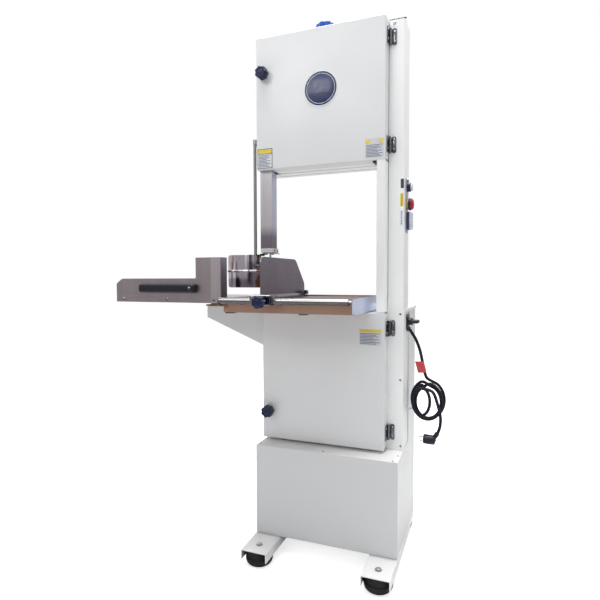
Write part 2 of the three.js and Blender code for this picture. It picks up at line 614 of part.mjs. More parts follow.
// ---------- carriage on the left of the table ----------
function buildCarriage() {
  const underTable = TABLE_Z[0] - GAP;
  const clearX = TABLE_X[0] - 2;
  const bracket = outline([[BRACKET_X[1], 674], [BRACKET_X[1], underTable], [clearX, underTable],
    [clearX, BRACKET_TOP], [BRACKET_X[0], BRACKET_TOP], [BRACKET_X[0], 778]]);
  const inner = outline([[BRACKET_X[1] - SHEET, 677], [BRACKET_X[1] - SHEET, BRACKET_TOP + 5],
    [BRACKET_X[0] + SHEET, BRACKET_TOP + 5], [BRACKET_X[0] + SHEET, 780]]);
  part('table_bracket', WHITE, cut(
    plateXZ(bracket, [HOUSING_Y[0] + 0.5, HOUSING_Y[1]]),
    plateXZ(inner, [HOUSING_Y[0] + 3, HOUSING_Y[1] - SHEET]),
  ));
  const bearings = [];
  const bores = [];
  for (const x of RAIL_LINES_X) {
    for (const y of [56, 128]) {
      bearings.push(block([x - 12, x + 12], [y, y + 20], [BRACKET_TOP + 5, 855]));
    }
    bores.push(rod([x, 40, RAIL_ROD_Z], [x, 160, RAIL_ROD_Z], RAIL_ROD_R + 0.5, 20));
    bores.push(block([x - 2.6, x + 2.6], [40, 160], [RAIL_ROD_Z, 860]));
  }
  part('carriage_bearings', STEEL, cut(
    join(block(BEARING_PLATE_X, [50, HOUSING_Y[1]], [BRACKET_TOP + GAP, 826]), ...bearings),
    ...bores,
  ));
  const trayTop = TABLE_Z[1];
  const rails = RAIL_LINES_X.flatMap((x) => [
    rod([x, CARRIAGE_Y[0], RAIL_ROD_Z], [x, CARRIAGE_Y[1], RAIL_ROD_Z], RAIL_ROD_R, 16),
    block([x - 2, x + 2], CARRIAGE_Y, [RAIL_ROD_Z, trayTop - 2]),
  ]);
  part('carriage_tray', STEEL, join(
    block(CARRIAGE_X, CARRIAGE_Y, [trayTop - 3.5, trayTop]),
    block([CARRIAGE_X[0], CARRIAGE_X[0] + 3], CARRIAGE_Y, [843, trayTop]),
    block([CARRIAGE_X[1] - 3, CARRIAGE_X[1]], CARRIAGE_Y, [843, trayTop]),
    ...rails,
  ));
  const guardPath = [[-919, GUARD_Y], [-535, GUARD_Y], [-502, GUARD_Y + 5], [-500, -109]];
  const window = roundedOutline([[-925, 905], [-919, 905], [-895, 923, 8], [-594, 923, 4], [-594, 991, 8],
    [-594, 1000], [-925, 1000]]);
  part('carriage_guard', STEEL, cut(
    foldedSheet(guardPath, 2.5, [842, 991]),
    plateXZ(window, [GUARD_Y - 10, GUARD_Y + 10]),
    block([-520, -490], [CARRIAGE_Y[0] - GAP, -100], [840, trayTop + GAP]),
  ));
  const gripZ = [875, 905];
  const post = (x) => rod([x, GUARD_Y - 12, 890], [x, GUARD_Y - GAP, 890], 11);
  part('carriage_handle', BLACK, join(
    plateXZ(roundedBox([-808, -590], gripZ, 8), [GUARD_Y - 24, GUARD_Y - 5], 4),
    post(-790),
    post(-613),
  ));
}

// ---------- blade guide and pusher ----------
function buildGuide() {
  const [x0, x1] = GUIDE_X;
  const plateTop = GUIDE_BOTTOM + 3;
  const blockZ = [plateTop + GAP, 1026];
  const postX = [-438, -420.5];
  const postY = [76, 92];
  const channelZ = [blockZ[1] + GAP, 1450];
  part('guide_channel', STEEL, join(
    block([x0, x1], [20, 22], channelZ),
    block([x0, x0 + 2], [20, 40], channelZ),
    block([x1 - 2, x1], [20, 40], channelZ),
    block([x1 - 2, x1], [38, 60], [channelZ[0], 1287]),
  ));
  part('guide_block', NYLON, cut(
    plateXY(roundedBox([GUIDE_X[0], GUIDE_X[1] + 5], [18, 64], 4), blockZ),
    block([-418.5, -412.5], [42, 70], [1000, 1040]),
  ));
  part('guide_post', STEEL, join(
    cut(
      plateXY(roundedBox([-431.5, -397], [20, 95], 4), [GUIDE_BOTTOM, plateTop]),
      block([-419, -412], [42, 100], [1000, 1020]),
    ),
    block(postX, postY, [GUIDE_BOTTOM + 1, 1560]),
  ));
  const backWall = HOUSING_Y[1] - SHEET;
  part('guide_bracket', CAST, cut(
    block([postX[0] - 1.2, -404], [postY[0] - 6, backWall - GAP], [1300, 1350]),
    block([postX[0] - GAP, postX[1] + GAP], [postY[0] - GAP, postY[1] + GAP], [1290, 1360]),
  ));
}

function buildPusher() {
  const rodX = -463;
  const rodY = 30;
  const pivot = { y: 62, z: 1397 };
  const plateY = [40, 42.5];
  const nutZ = 966;
  const barZ = 949;
  part('pusher_arm', POLISHED, join(
    rod([rodX, rodY, nutZ - 6], [rodX, rodY, pivot.z], 5.5, 16),
    rod([rodX, rodY - 8, nutZ], [rodX, plateY[0] - GAP, nutZ], 6.5, 16),
    block([rodX - 5, rodX + 5], [rodY - 5, pivot.y + 8], [pivot.z - 10, pivot.z + 8]),
    rod([rodX - 5, pivot.y, pivot.z], [-433, pivot.y, pivot.z], 5.5, 16),
    rod([-439.2, pivot.y, pivot.z], [-433, pivot.y, pivot.z], 9, 16),
  ));
  part('pusher_plate', POLISHED, join(
    plateXZ(roundedBox(PUSHER_X, PUSHER_Z, 9), plateY),
    rod([PUSHER_X[0] + 1, plateY[0] - 3, barZ], [PUSHER_X[1], plateY[0] - 3, barZ], 5, 16),
  ));
}

// ---------- controls and cable ----------
function buildControls() {
  const [x0, x1] = STRIP_X;
  const middle = (STRIP_Y[0] + STRIP_Y[1]) / 2;
  const across = (z, r, from, to) => rod([from, middle, z], [to, middle, z], r, 24);
  const holeStart = x0 + 0.5;
  part('control_plate', STEEL, cut(
    plateYZ(roundedBox(STRIP_Y, STRIP_Z, 12), STRIP_X),
    across(RESET_Z, 7, holeStart, x1 + 5),
    across(ESTOP_Z, 11.6, holeStart, x1 + 5),
  ));
  part('reset_button', BLUE, join(
    across(RESET_Z, 6.4, x0 + 3.7, x1 + 8),
    across(RESET_Z, 12, x1 + 6, x1 + 16),
  ));
  part('estop_button', RED, cut(
    join(across(ESTOP_Z, 10, x0 + 4.8, x1 + 14), across(ESTOP_Z, 19.2, x1 + 5, x1 + 21)),
    cut(across(ESTOP_Z, 16, x1, x1 + 11), across(ESTOP_Z, 10, x1 - 5, x1 + 14)),
  ));
  const bodyX = [x1 + GAP, 63];
  part('start_stop_body', BLACK, cut(
    plateYZ(roundedBox([82, 118], [1080, 1137], 6), bodyX),
    ...[START_Z, STOP_Z].map((z) => across(z, 10.4, bodyX[0] + 1, bodyX[1] + 5)),
  ));
  part('start_button', GREEN, across(START_Z, 9.8, bodyX[0] + 4, bodyX[1] + 4));
  part('stop_button', RED, across(STOP_Z, 9.8, bodyX[0] + 4, bodyX[1] + 4));
  const face = LOWER_X[1] + GAP;
  const { y, z, halfWidth, halfHeight } = SWITCH;
  const plateEnd = face + 5;
  const bossEnd = face + 19;
  const plate = roundedBox([y - halfWidth, y + halfWidth], [z - halfHeight, z + halfHeight], 4);
  part('main_switch_body', BLACK, plateYZ(plate, [face, plateEnd]));
  part('main_switch_knob', BLACK, join(
    rod([plateEnd + GAP, y, z], [bossEnd, y, z], 12, 24),
    plateYZ(roundedBox([y - 19, y + 19], [z - 5, z + 5], 3), [bossEnd - 3, face + 39]),
  ));
}

// The mains lead leaves the switch, hangs in a tied coil and ends at its plug.
function cablePath() {
  const at = (x, y, z) => new THREE.Vector3(x, y, z);
  const points = [at(57, 120, 753), at(64, 120, 747), at(74, 120, 732), at(83, 121, 716),
    at(95, 123, 683), at(103, 127, 645), at(108, 138, 612), at(115, 146, 588)];
  const perTurn = 12;
  const startY = 148;
  const startAngle = Math.PI * 0.45;
  const steps = LOOPS.length * perTurn;
  for (let i = 0; i <= steps; i += 1) {
    const turn = i / perTurn;
    const angle = startAngle - turn * 2 * Math.PI;
    const here = LOOPS[Math.min(Math.floor(turn), LOOPS.length - 1)];
    points.push(at(
      here.x + here.rx * Math.cos(angle),
      startY - LOOP_PITCH * turn,
      here.z + here.rz * Math.sin(angle),
    ));
  }
  const tailY = startY - LOOP_PITCH * LOOPS.length - 6;
  points.push(at(140, tailY, 550), at(156, tailY, 510), at(165, tailY, 470), at(164, tailY, 440),
    at(158, tailY, 419));
  return new THREE.CatmullRomCurve3(points, false, 'centripetal');
}

function buildCable() {
  const path = cablePath();
  const round = new THREE.Shape().absarc(0, 0, CABLE_R, 0, 2 * Math.PI);
  part('power_cable', RUBBER, solid(new THREE.ExtrudeGeometry(round, {
    steps: 120,
    curveSegments: 3,
    extrudePath: path,
  })));
  const end = path.getPoint(1);
  const beyond = (distance) => path.getPoint(1).addScaledVector(path.getTangent(1), distance).toArray();
  const from = (distance, drop) => [end.x - distance, end.y, end.z - drop];
  part('mains_plug', BLACK, join(
    rod(beyond(GAP), beyond(12), 8, 16),
    rod(beyond(9), from(15, 23), 8.5, 16),
    rod(from(11, 27), from(47, 25), 15.5, 24),
    rod(from(42, 19), from(61, 19), 2.4, 8),
    rod(from(42, 32), from(61, 32), 2.4, 8),
  ));
}

buildUpperHousing();
buildColumn();
buildLowerHousing();
buildCabinet();
buildFeet();
buildDoors();
UPPER_HINGES_Z.forEach((z, i) => buildHinge(`upper_door_hinge_${['top', 'bottom'][i]}`, z));
LOWER_HINGES_Z.forEach((z, i) => buildHinge(`lower_door_hinge_${['top', 'bottom'][i]}`, z));
buildWheels();
buildTension();
buildDrive();
buildTable();
buildFence();
buildCarriage();
buildGuide();
buildPusher();
buildControls();
buildCable();

// The origin is the middle of the footprint, on the floor.
const extent = new THREE.Box3().setFromObject(saw);
const centre = extent.getCenter(new THREE.Vector3());
saw.position.set(-centre.x, -centre.y, -extent.min.z);

export default saw;
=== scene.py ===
"""Looks of the butcher's bone saw: materials, fine parts, stage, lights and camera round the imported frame.

Places are in the saw's own millimetres: x = 0 at the doors' hinge side, y = 0 at the doors' front,
z = 0 on the floor. at() turns them into the frame's metres.
"""
import math

import bmesh
import bpy
from mathutils import Matrix, Vector


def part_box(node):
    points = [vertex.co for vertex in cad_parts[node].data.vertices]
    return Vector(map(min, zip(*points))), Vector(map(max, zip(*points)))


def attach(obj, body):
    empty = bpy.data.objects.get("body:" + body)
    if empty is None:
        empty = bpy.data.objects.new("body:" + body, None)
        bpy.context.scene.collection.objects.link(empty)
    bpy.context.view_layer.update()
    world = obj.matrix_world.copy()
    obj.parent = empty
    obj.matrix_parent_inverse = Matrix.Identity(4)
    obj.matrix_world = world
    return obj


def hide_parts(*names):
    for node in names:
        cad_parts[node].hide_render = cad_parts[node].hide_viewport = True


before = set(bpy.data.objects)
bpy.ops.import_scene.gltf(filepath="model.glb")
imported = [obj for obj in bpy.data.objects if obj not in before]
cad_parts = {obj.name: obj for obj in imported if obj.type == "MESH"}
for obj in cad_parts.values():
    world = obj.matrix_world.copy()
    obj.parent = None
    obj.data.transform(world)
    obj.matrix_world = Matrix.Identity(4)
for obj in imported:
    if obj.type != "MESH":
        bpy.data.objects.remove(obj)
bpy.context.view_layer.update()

MM = 0.001
TAU = 2 * math.pi
ORIGIN = Vector((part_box("upper_door")[1].x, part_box("upper_door")[0].y, 0))
X_AXIS = Vector((1, 0, 0))
Y_AXIS = Vector((0, 1, 0))
Z_AXIS = Vector((0, 0, 1))


def at(x, y, z):
    return ORIGIN + Vector((x, y, z)) * MM


def local_box(node):
    """A CAD node's corners in the saw's own millimetres."""
    return [(corner - ORIGIN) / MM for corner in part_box(node)]


def middle(node):
    lo, hi = local_box(node)
    return (lo + hi) / 2


# ---------- node helpers for materials ----------
class Look:
    """One procedural material: a Principled shader and short ways to add detail to it."""

    def __init__(self, name, color, roughness, metallic=0.0):
        self.material = bpy.data.materials.new(name)
        self.material.use_nodes = True
        self.tree = self.material.node_tree
        self.shader = self.tree.nodes["Principled BSDF"]
        self.shader.inputs["Base Color"].default_value = (*color, 1)
        self.shader.inputs["Roughness"].default_value = roughness
        self.shader.inputs["Metallic"].default_value = metallic
        self.place = self.node("ShaderNodeTexCoord").outputs["Object"]
        self.color = None
        self.base = color
        self.height = None

    def node(self, kind, **settings):
        made = self.tree.nodes.new(kind)
        for key, value in settings.items():
            setattr(made, key, value)
        return made

    def link(self, source, target):
        self.tree.links.new(source, target)

    def noise(self, scale, detail=3.0, stretch=(1, 1, 1), roughness=0.5):
        mapping = self.node("ShaderNodeMapping")
        mapping.inputs["Scale"].default_value = [scale * s for s in stretch]
        self.link(self.place, mapping.inputs["Vector"])
        texture = self.node("ShaderNodeTexNoise")
        texture.inputs["Scale"].default_value = 1.0
        texture.inputs["Detail"].default_value = detail
        texture.inputs["Roughness"].default_value = roughness
        self.link(mapping.outputs["Vector"], texture.inputs["Vector"])
        return texture.outputs["Fac"]

    def ramp(self, source, low, high, out_low=0.0, out_high=1.0):
        """Maps low..high of the source to out_low..out_high, clamped."""
        mapped = self.node("ShaderNodeMapRange", clamp=True)
        for key, value in zip(("From Min", "From Max", "To Min", "To Max"), (low, high, out_low, out_high)):
            mapped.inputs[key].default_value = value
        self.link(source, mapped.inputs["Value"])
        return mapped.outputs["Result"]

    def tint(self, factor, color):
        """Mixes another colour over what the base colour is so far."""
        mix = self.node("ShaderNodeMix", data_type="RGBA")
        self.link(factor, mix.inputs["Factor"])
        if self.color is None:
            mix.inputs["A"].default_value = (*self.base, 1)
        else:
            self.link(self.color, mix.inputs["A"])
        mix.inputs["B"].default_value = (*color, 1)
        self.color = mix.outputs["Result"]
        self.link(self.color, self.shader.inputs["Base Color"])
        return self

    def patches(self, noise, span, color):
        """Tints where a noise is high: noise and span are the arguments of noise() and ramp()."""
        return self.tint(self.ramp(self.noise(*noise), *span), color)

    def rough(self, source, low, high):
        self.link(self.ramp(source, 0.3, 0.7, low, high), self.shader.inputs["Roughness"])
        return self

    def bump(self, source, distance, strength=1.0):
        """Adds a layer of surface relief, in millimetres."""
        bump = self.node("ShaderNodeBump")
        bump.inputs["Strength"].default_value = strength
        bump.inputs["Distance"].default_value = distance * MM
        self.link(source, bump.inputs["Height"])
        if self.height is not None:
            self.link(self.height, bump.inputs["Normal"])
        self.height = bump.outputs["Normal"]
        self.link(self.height, self.shader.inputs["Normal"])
        return self

    def painted_corner_shade(self, distance, low, high):
        """1 in tight corners and 0 in the open: the mask of painted corner shade."""
        shade = self.node("ShaderNodeAmbientOcclusion", samples=6)
        shade.inputs["Distance"].default_value = distance * MM
        return self.ramp(shade.outputs["AO"], low, high, 1.0, 0.0)

    def geometry(self, output, axis):
        split = self.node("ShaderNodeSeparateXYZ")
        self.link(self.node("ShaderNodeNewGeometry").outputs[output], split.inputs[0])
        return split.outputs[axis]

    def facing(self, axis, low=0.5, high=0.8):
        """1 where the surface faces along +X, +Y or +Z."""
        return self.ramp(self.geometry("True Normal", axis), low, high)

    def height_span(self, start, end):
        """0 at the start height and 1 at the end one, in millimetres above the floor."""
        return self.ramp(self.geometry("Position", "Z"), at(0, 0, start).z, at(0, 0, end).z)

    def set(self, **inputs):
        for key, value in inputs.items():
            self.shader.inputs[key.replace("_", " ")].default_value = value
        return self


def white_paint(name, color, shade, painted_corner_shade=(14, 0.25, 0.97)):
    """Powder coat: shade is the colour of soft upright bands of painted shade that stand for reflections; the
    last argument gives the reach and span of the painted shade in its corners.
    """
    look = Look(name, color, 0.36)
    look.set(Coat_Weight=0.2, Coat_Roughness=0.15)
    # painted shade: soft upright bands that stand for reflections
    look.patches((2.4, 2, (1, 1, 0.35)), (0.38, 0.66, 0.0, 0.55), shade)
    look.patches((160, 4), (0.7, 0.8, 0.0, 0.2), (0.66, 0.66, 0.65))
    # painted shade darkening the corners, creases and gaps
    look.tint(look.painted_corner_shade(*painted_corner_shade), (0.3, 0.31, 0.33))
    look.rough(look.noise(9, 3), 0.3, 0.42)
    look.bump(look.noise(900, 2), 0.02, 0.3)
    return look


def base_paint():
    """The cabinets' paint, with painted shade on the fronts and right sides, which face the dim foreground,
    and painted light on the ledges, which face the light.
    """
    look = white_paint("white_base_paint", (0.93, 0.935, 0.94), (0.9, 0.905, 0.91))
    # painted shade on the fronts and right sides, painted light on the tops
    look.tint(look.facing("Y", -0.5, -0.8), (0.7, 0.712, 0.725))
    look.tint(look.facing("X"), (0.76, 0.768, 0.776))
    look.tint(look.facing("Z"), (0.97, 0.97, 0.97))
    return look


def channel_paint():
    """The foot channels' paint, with painted black shade wherever the cabinet stands over it."""
    look = white_paint("white_foot_channel", (0.96, 0.96, 0.96), (0.93, 0.93, 0.94))
    # painted shade: black where the cabinet overhangs the channel
    look.tint(look.painted_corner_shade(220, 0.06, 0.34), (0.02, 0.02, 0.022))
    return look


def brushed_steel(name, color, along, spread=0.12, dark_below=None):
    """Sheet with a fine grain along one axis; its +X faces carry a painted reflection of the cool side of the
    room.

    Below dark_below it carries a painted dark reflection of the table, not of the room.
    """
    look = Look(name, color, 0.3, 1.0)
    # painted reflection of the cool side of the room on the +X faces
    look.tint(look.facing("X", 0.6, 0.95), (color[0] * 0.9, color[1] * 1.05, color[2] * 1.35))
    grain = look.noise(2600, 1, along)
    look.tint(look.ramp(grain, 0.35, 0.65), tuple(c * (1 - spread) for c in color))
    clouds = look.ramp(look.noise(14, 2, (1, 1, 0.12)), 0.42, 0.62, 0.0, 0.35)
    look.tint(clouds, tuple(c * 0.7 for c in color))
    if dark_below:
        # painted reflection of the table: darker below the given height
        look.tint(look.height_span(dark_below + 20, dark_below - 20), (0.2, 0.18, 0.22))
    look.rough(look.noise(900, 2, along), 0.26, 0.38)
    look.bump(grain, 0.004, 0.4)
    look.set(Anisotropic=0.4)
    return look.material


def table_steel():
    """Satin sheet whose brown tone is a painted reflection of the warm foreground; its top carries a painted
    reflection of the dark throat, its right side one of the cool wall of the room.
    """
    # painted reflection: the brown tone of the bare steel
    look = Look("table_steel", (0.44, 0.29, 0.22), 0.32, 1.0)
    grain = look.noise(2600, 1, ALONG_X)
    look.tint(look.ramp(grain, 0.35, 0.65), (0.41, 0.27, 0.2))
    look.patches((9, 2), (0.4, 0.7, 0.0, 0.5), (0.37, 0.235, 0.175))
    # painted reflections: the cool wall on the right side, the dark throat on the top
    look.tint(look.facing("X"), (0.68, 0.75, 0.93))
    look.tint(look.facing("Z"), (0.09, 0.04, 0.03))
    look.rough(look.noise(900, 2, ALONG_X), 0.28, 0.4)
    look.bump(grain, 0.004, 0.4)
    return look.material


def polished_steel(name, color=(0.66, 0.66, 0.68), under=0.35):
    """Bright metal with painted shade where it faces the floor; under is how much of its tone that painted
    shade leaves.
    """
    look = Look(name, color, 0.1, 1.0)
    # painted shade on the faces that look down at the floor
    look.tint(look.facing("Z", 0.42, -0.1), tuple(c * under for c in color))
    look.patches((25, 4), (0.55, 0.75, 0.0, 0.3), tuple(c * 0.7 for c in color))
    look.rough(look.noise(120, 4), 0.06, 0.2)
    look.bump(look.noise(260, 3), 0.006, 0.35)
    return look.material


def mirror_steel():
    """Polished plate with painted upright streaks that stand for reflections of the room: brown, dark and
    bright ones.
    """
    look = Look("mirror_steel", (0.5, 0.48, 0.52), 0.12, 1.0)
    streaks = look.noise(34, 3, (1, 1, 0.3))
    # painted reflections: brown, dark and highlight streaks
    look.tint(look.ramp(streaks, 0.52, 0.6), (0.24, 0.13, 0.09))
    look.patches((26, 2, (1, 1, 0.2)), (0.55, 0.62), (0.04, 0.04, 0.07))
    look.patches((40, 2, (1, 1, 0.04)), (0.58, 0.66), (0.9, 0.9, 0.95))
    look.rough(look.noise(120, 3), 0.08, 0.2)
    look.bump(streaks, 0.3, 0.3)
    return look.material


def cast_metal():
    look = Look("cast_metal", (0.2, 0.21, 0.22), 0.5, 0.75)
    look.patches((40, 4), (0.4, 0.7, 0.0, 0.6), (0.11, 0.115, 0.12))
    look.rough(look.noise(90, 3), 0.35, 0.65)
    look.bump(look.noise(600, 4), 0.06, 0.6)
    return look.material


def rubber(name, color=(0.012, 0.012, 0.013), grain=700, worn=(0.03, 0.03, 0.031)):
    look = Look(name, color, 0.62).set(Specular_IOR_Level=0.3)
    look.patches((35, 4), (0.5, 0.75, 0.0, 0.5), worn)
    look.rough(look.noise(50, 4), 0.5, 0.8)
    look.bump(look.noise(grain, 3), 0.05, 0.5)
    return look.material


def plastic(name, color, worn, roughness=(0.28, 0.45)):
    """Moulded plastic with a fine spark-eroded grain, scuffed a little lighter in patches."""
    look = Look(name, color, roughness[0]).set(Specular_IOR_Level=0.35)
    look.patches((45, 4), (0.55, 0.78, 0.0, 0.45), worn)
    look.rough(look.noise(80, 3), *roughness)
    look.bump(look.noise(1400, 2), 0.02, 0.4)
    return look.material


def clear_boot():
    look = Look("clear_boot", (0.8, 0.84, 0.95), 0.25)
    look.set(Transmission_Weight=0.3, IOR=1.38)
    look.patches((120, 3), (0.45, 0.75, 0.0, 0.4), (0.66, 0.7, 0.82))
    look.rough(look.noise(90, 2), 0.18, 0.35)
    look.bump(look.noise(300, 2), 0.05, 0.3)
    return look.material


def print_film(name, color, worn):
    look = Look(name, color, 0.3)
    look.patches((150, 4), (0.6, 0.75, 0.0, 0.35), worn)
    look.rough(look.noise(60, 3), 0.22, 0.42)
    look.bump(look.noise(500, 2), 0.01, 0.3)
    look.set(Coat_Weight=0.3)
    return look.material


ALONG_X = (0.008, 1, 1)
ALONG_Y = (1, 0.008, 1)
ALONG_Z = (1, 1, 0.008)
STEEL = (0.42, 0.385, 0.41)
M = {
    # One white paint: the frame's copy is made much lighter than the doors', which paints extra light on the
    # frame.
    "white": white_paint("white_door_paint", (0.79, 0.8, 0.81), (0.72, 0.735, 0.75), (6, 0.0, 0.45)).material,
    "white_frame": white_paint("white_frame_paint", (0.97, 0.98, 0.98), (0.94, 0.95, 0.955),
                               (5, 0.0, 0.3)).material,
    "white_base": base_paint().material,
    "white_channel": channel_paint().material,
    "steel_x": brushed_steel("brushed_steel_x", STEEL, ALONG_X, 0.08),
    # painted light: a lighter copy of the guard's steel for its overlap strip
    "steel_strip": brushed_steel("brushed_steel_strip", (0.52, 0.48, 0.51), ALONG_Z, 0.06),
    "steel_y": brushed_steel("brushed_steel_y", (0.25, 0.22, 0.235), ALONG_Y),
    "steel_z": brushed_steel("brushed_steel_z", (0.5, 0.49, 0.51), ALONG_Z, 0.08),
    "steel_guide": brushed_steel("guide_steel", (0.55, 0.54, 0.56), ALONG_Z, 0.06, 1085),
    "table": table_steel(),
    "polished": polished_steel("polished_steel"),
    "chrome": polished_steel("hinge_chrome", (0.3, 0.3, 0.34)),
    "rail": polished_steel("rail_steel", (0.42, 0.4, 0.4), 0.3),
    "mirror": mirror_steel(),
    "copper": brushed_steel("bearing_plate_steel", (0.36, 0.2, 0.12), ALONG_X, 0.12),
    # painted highlight: a bright pink strip at the table's front left corner
    "corner_highlight": polished_steel("corner_highlight_steel", (0.8, 0.5, 0.38)),
    "zinc": polished_steel("zinc_plated", (0.5, 0.5, 0.5)),
    "blade": brushed_steel("blade_steel", (0.33, 0.34, 0.36), ALONG_Z, 0.12),
    "cast": cast_metal(),
    "foot": rubber("foot_rubber"),
    "belt": rubber("belt_rubber", (0.02, 0.02, 0.02), 300),
    "pvc": rubber("cable_pvc", (0.004, 0.005, 0.014), 1500, (0.01, 0.011, 0.024)),
    "nylon": plastic("white_nylon", (0.74, 0.74, 0.72), (0.6, 0.6, 0.56), (0.4, 0.55)),
    "boot": clear_boot(),
}
PLASTICS = {
    "black": ((0.008, 0.009, 0.018), (0.025, 0.028, 0.045)),
    "navy": ((0.004, 0.01, 0.05), (0.012, 0.024, 0.09)),
    "slate": ((0.03, 0.048, 0.115), (0.05, 0.07, 0.15)),
    "blue": ((0.012, 0.07, 0.36), (0.03, 0.12, 0.45)),
    "red": ((0.36, 0.012, 0.02), (0.45, 0.05, 0.05)),
    "green": ((0.03, 0.3, 0.1), (0.08, 0.4, 0.18)),
    "yellow": ((0.78, 0.5, 0.02), (0.66, 0.42, 0.05)),
}
FILMS = {
    "pale": ((0.66, 0.69, 0.74), (0.55, 0.58, 0.62)),
    "white": ((0.8, 0.82, 0.85), (0.7, 0.72, 0.76)),
    "yellow": ((0.8, 0.62, 0.06), (0.66, 0.52, 0.1)),
    "dark": ((0.03, 0.035, 0.05), (0.08, 0.08, 0.1)),
    "grey": ((0.16, 0.18, 0.27), (0.26, 0.28, 0.34)),
    "blue": ((0.008, 0.02, 0.1), (0.02, 0.035, 0.13)),
    "red": ((0.6, 0.03, 0.04), (0.5, 0.08, 0.08)),
}
M |= {name: plastic(f"{name}_plastic", *colors) for name, colors in PLASTICS.items()}
M |= {f"film_{name}": print_film(f"film_{name}", *colors) for name, colors in FILMS.items()}


# ---------- mesh helpers ----------
def finish_piece(name, bm, look, body="frame", replaces=(), smooth_angle=38):
    """Makes an object of a bmesh that is already in the frame's metres, and hangs it on its body."""
    bmesh.ops.recalc_face_normals(bm, faces=bm.faces)
    mesh = bpy.data.meshes.new(name)
    bm.to_mesh(mesh)
    bm.free()
    mesh.polygons.foreach_set("use_smooth", [True] * len(mesh.polygons))
    mesh.set_sharp_from_angle(angle=math.radians(smooth_angle))
    mesh.materials.append(M[look])
    piece = bpy.data.objects.new(name, mesh)
    bpy.context.scene.collection.objects.link(piece)
    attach(piece, body)
    if replaces:
        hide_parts(*replaces)
    return piece


def make_piece(name, look, body, draw, *form, replaces=(), **settings):
    """A piece of one drawn form: draw is the add_ function, the rest its arguments."""
    bm = bmesh.new()
    draw(bm, *form, **settings)
    return finish_piece(name, bm, look, body, replaces)


def basis(direction, up=None):
    """A rotation that takes +Z to the given direction."""
    z = Vector(direction).normalized()
    if up is None:
        up = Z_AXIS if abs(z.z) < 0.9 else Y_AXIS
    x = up.cross(z).normalized()
    y = z.cross(x)
    return Matrix((x, y, z)).transposed().to_4x4()


def place(bm, verts, origin, direction, up=None):
    """Moves new vertices drawn about the z axis, in millimetres, to a place in the saw."""
    matrix = Matrix.Translation(at(*origin)) @ basis(direction, up) @ Matrix.Scale(MM, 4)
    bmesh.ops.transform(bm, matrix=matrix, verts=verts)


def join(bm, low, high):
    """The faces between two rings of vertices."""
    for i in range(len(low)):
        j = (i + 1) % len(low)
        bm.faces.new((low[i], low[j], high[j], high[i]))


def add_lathe(bm, profile, origin, direction, segments=48, lobes=0):
    """A turned solid: profile is (radius, height) from end to end; a third number swells it into lobes."""
    rings = []
    for r, h, *lobing in profile:
        if r < 1e-6:
            rings.append([bm.verts.new((0, 0, h))])
            continue
        ring = []
        for i in range(segments):
            a = TAU * i / segments
            swell = 1 - 0.07 * (lobing[0] if lobing else 0) * (1 - math.cos(lobes * a))
            ring.append(bm.verts.new((r * swell * math.cos(a), r * swell * math.sin(a), h)))
        rings.append(ring)
    for low, high in zip(rings, rings[1:]):
        for i in range(segments):
            j = (i + 1) % segments
            corners = [low[i % len(low)], low[j % len(low)], high[j % len(high)], high[i % len(high)]]
            bm.faces.new(list(dict.fromkeys(corners)))
    place(bm, [v for ring in rings for v in ring], origin, direction)


def add_prism(bm, outline, height, origin, direction, up=None, bevel=0.0, segments=3):
    """An outline drawn in x, y and raised along z, with its rims rounded."""
    bottom = [bm.verts.new((x, y, 0)) for x, y in outline]
    top = [bm.verts.new((x, y, height)) for x, y in outline]
    lids = [bm.faces.new(list(reversed(bottom))), bm.faces.new(top)]
    join(bm, bottom, top)
    verts = bottom + top
    if bevel:
        rims = list({edge for lid in lids for edge in lid.edges})
        made = bmesh.ops.bevel(bm, geom=rims, offset=bevel, segments=segments, profile=0.5, affect="EDGES")
        verts = list({v for v in verts if v.is_valid} | set(made["verts"]))
    place(bm, verts, origin, direction, up)


def rounded_rect(x0, x1, y0, y1, radius, steps=5):
    points = []
    corners = ((x1 - radius, y1 - radius), (x0 + radius, y1 - radius), (x0 + radius, y0 + radius),
               (x1 - radius, y0 + radius))
    for quarter, (cx, cy) in enumerate(corners):
        for i in range(steps + 1):
            a = (quarter + i / steps) * math.pi / 2
            points.append((cx + radius * math.cos(a), cy + radius * math.sin(a)))
    return points


def add_loft(bm, outline_at, profile, origin, direction, up=None):
    """A solid of stacked outlines: outline_at(inset) gives the points, profile is (inset, height)."""
    rings = [[bm.verts.new((x, y, h)) for x, y in outline_at(inset)] for inset, h in profile]
    for low, high in zip(rings, rings[1:]):
        join(bm, low, high)
    bm.faces.new(rings[0])
    bm.faces.new(rings[-1])
    place(bm, [v for ring in rings for v in ring], origin, direction, up)


def add_pill(bm, xs, ys, height, corner, edge, origin, direction, up=None):
    """A rounded rectangle raised along the direction, with a generous round on its far rim."""
    def outline_at(inset):
        return rounded_rect(xs[0] + inset, xs[1] - inset, ys[0] + inset, ys[1] - inset,
                            corner - inset * 0.8, 6)

    profile = [(0, 0)]
    for i in range(6):
        a = 0.5 * math.pi * i / 5
        profile.append((edge * (1 - math.cos(a)), height - edge + edge * math.sin(a)))
    add_loft(bm, outline_at, profile, origin, direction, up)


def add_box(bm, xs, ys, zs, bevel=0.5, segments=2):
    made = bmesh.ops.create_cube(bm, size=1)
    size = (xs[1] - xs[0], ys[1] - ys[0], zs[1] - zs[0])
    centre = at((xs[0] + xs[1]) / 2, (ys[0] + ys[1]) / 2, (zs[0] + zs[1]) / 2)
    matrix = Matrix.Translation(centre) @ Matrix.Diagonal((*[s * MM for s in size], 1))
    bmesh.ops.transform(bm, matrix=matrix, verts=made["verts"])
    if bevel:
        edges = list({e for v in made["verts"] for e in v.link_edges})
        bmesh.ops.bevel(bm, geom=edges, offset=bevel * MM, segments=segments, profile=0.5, affect="EDGES")


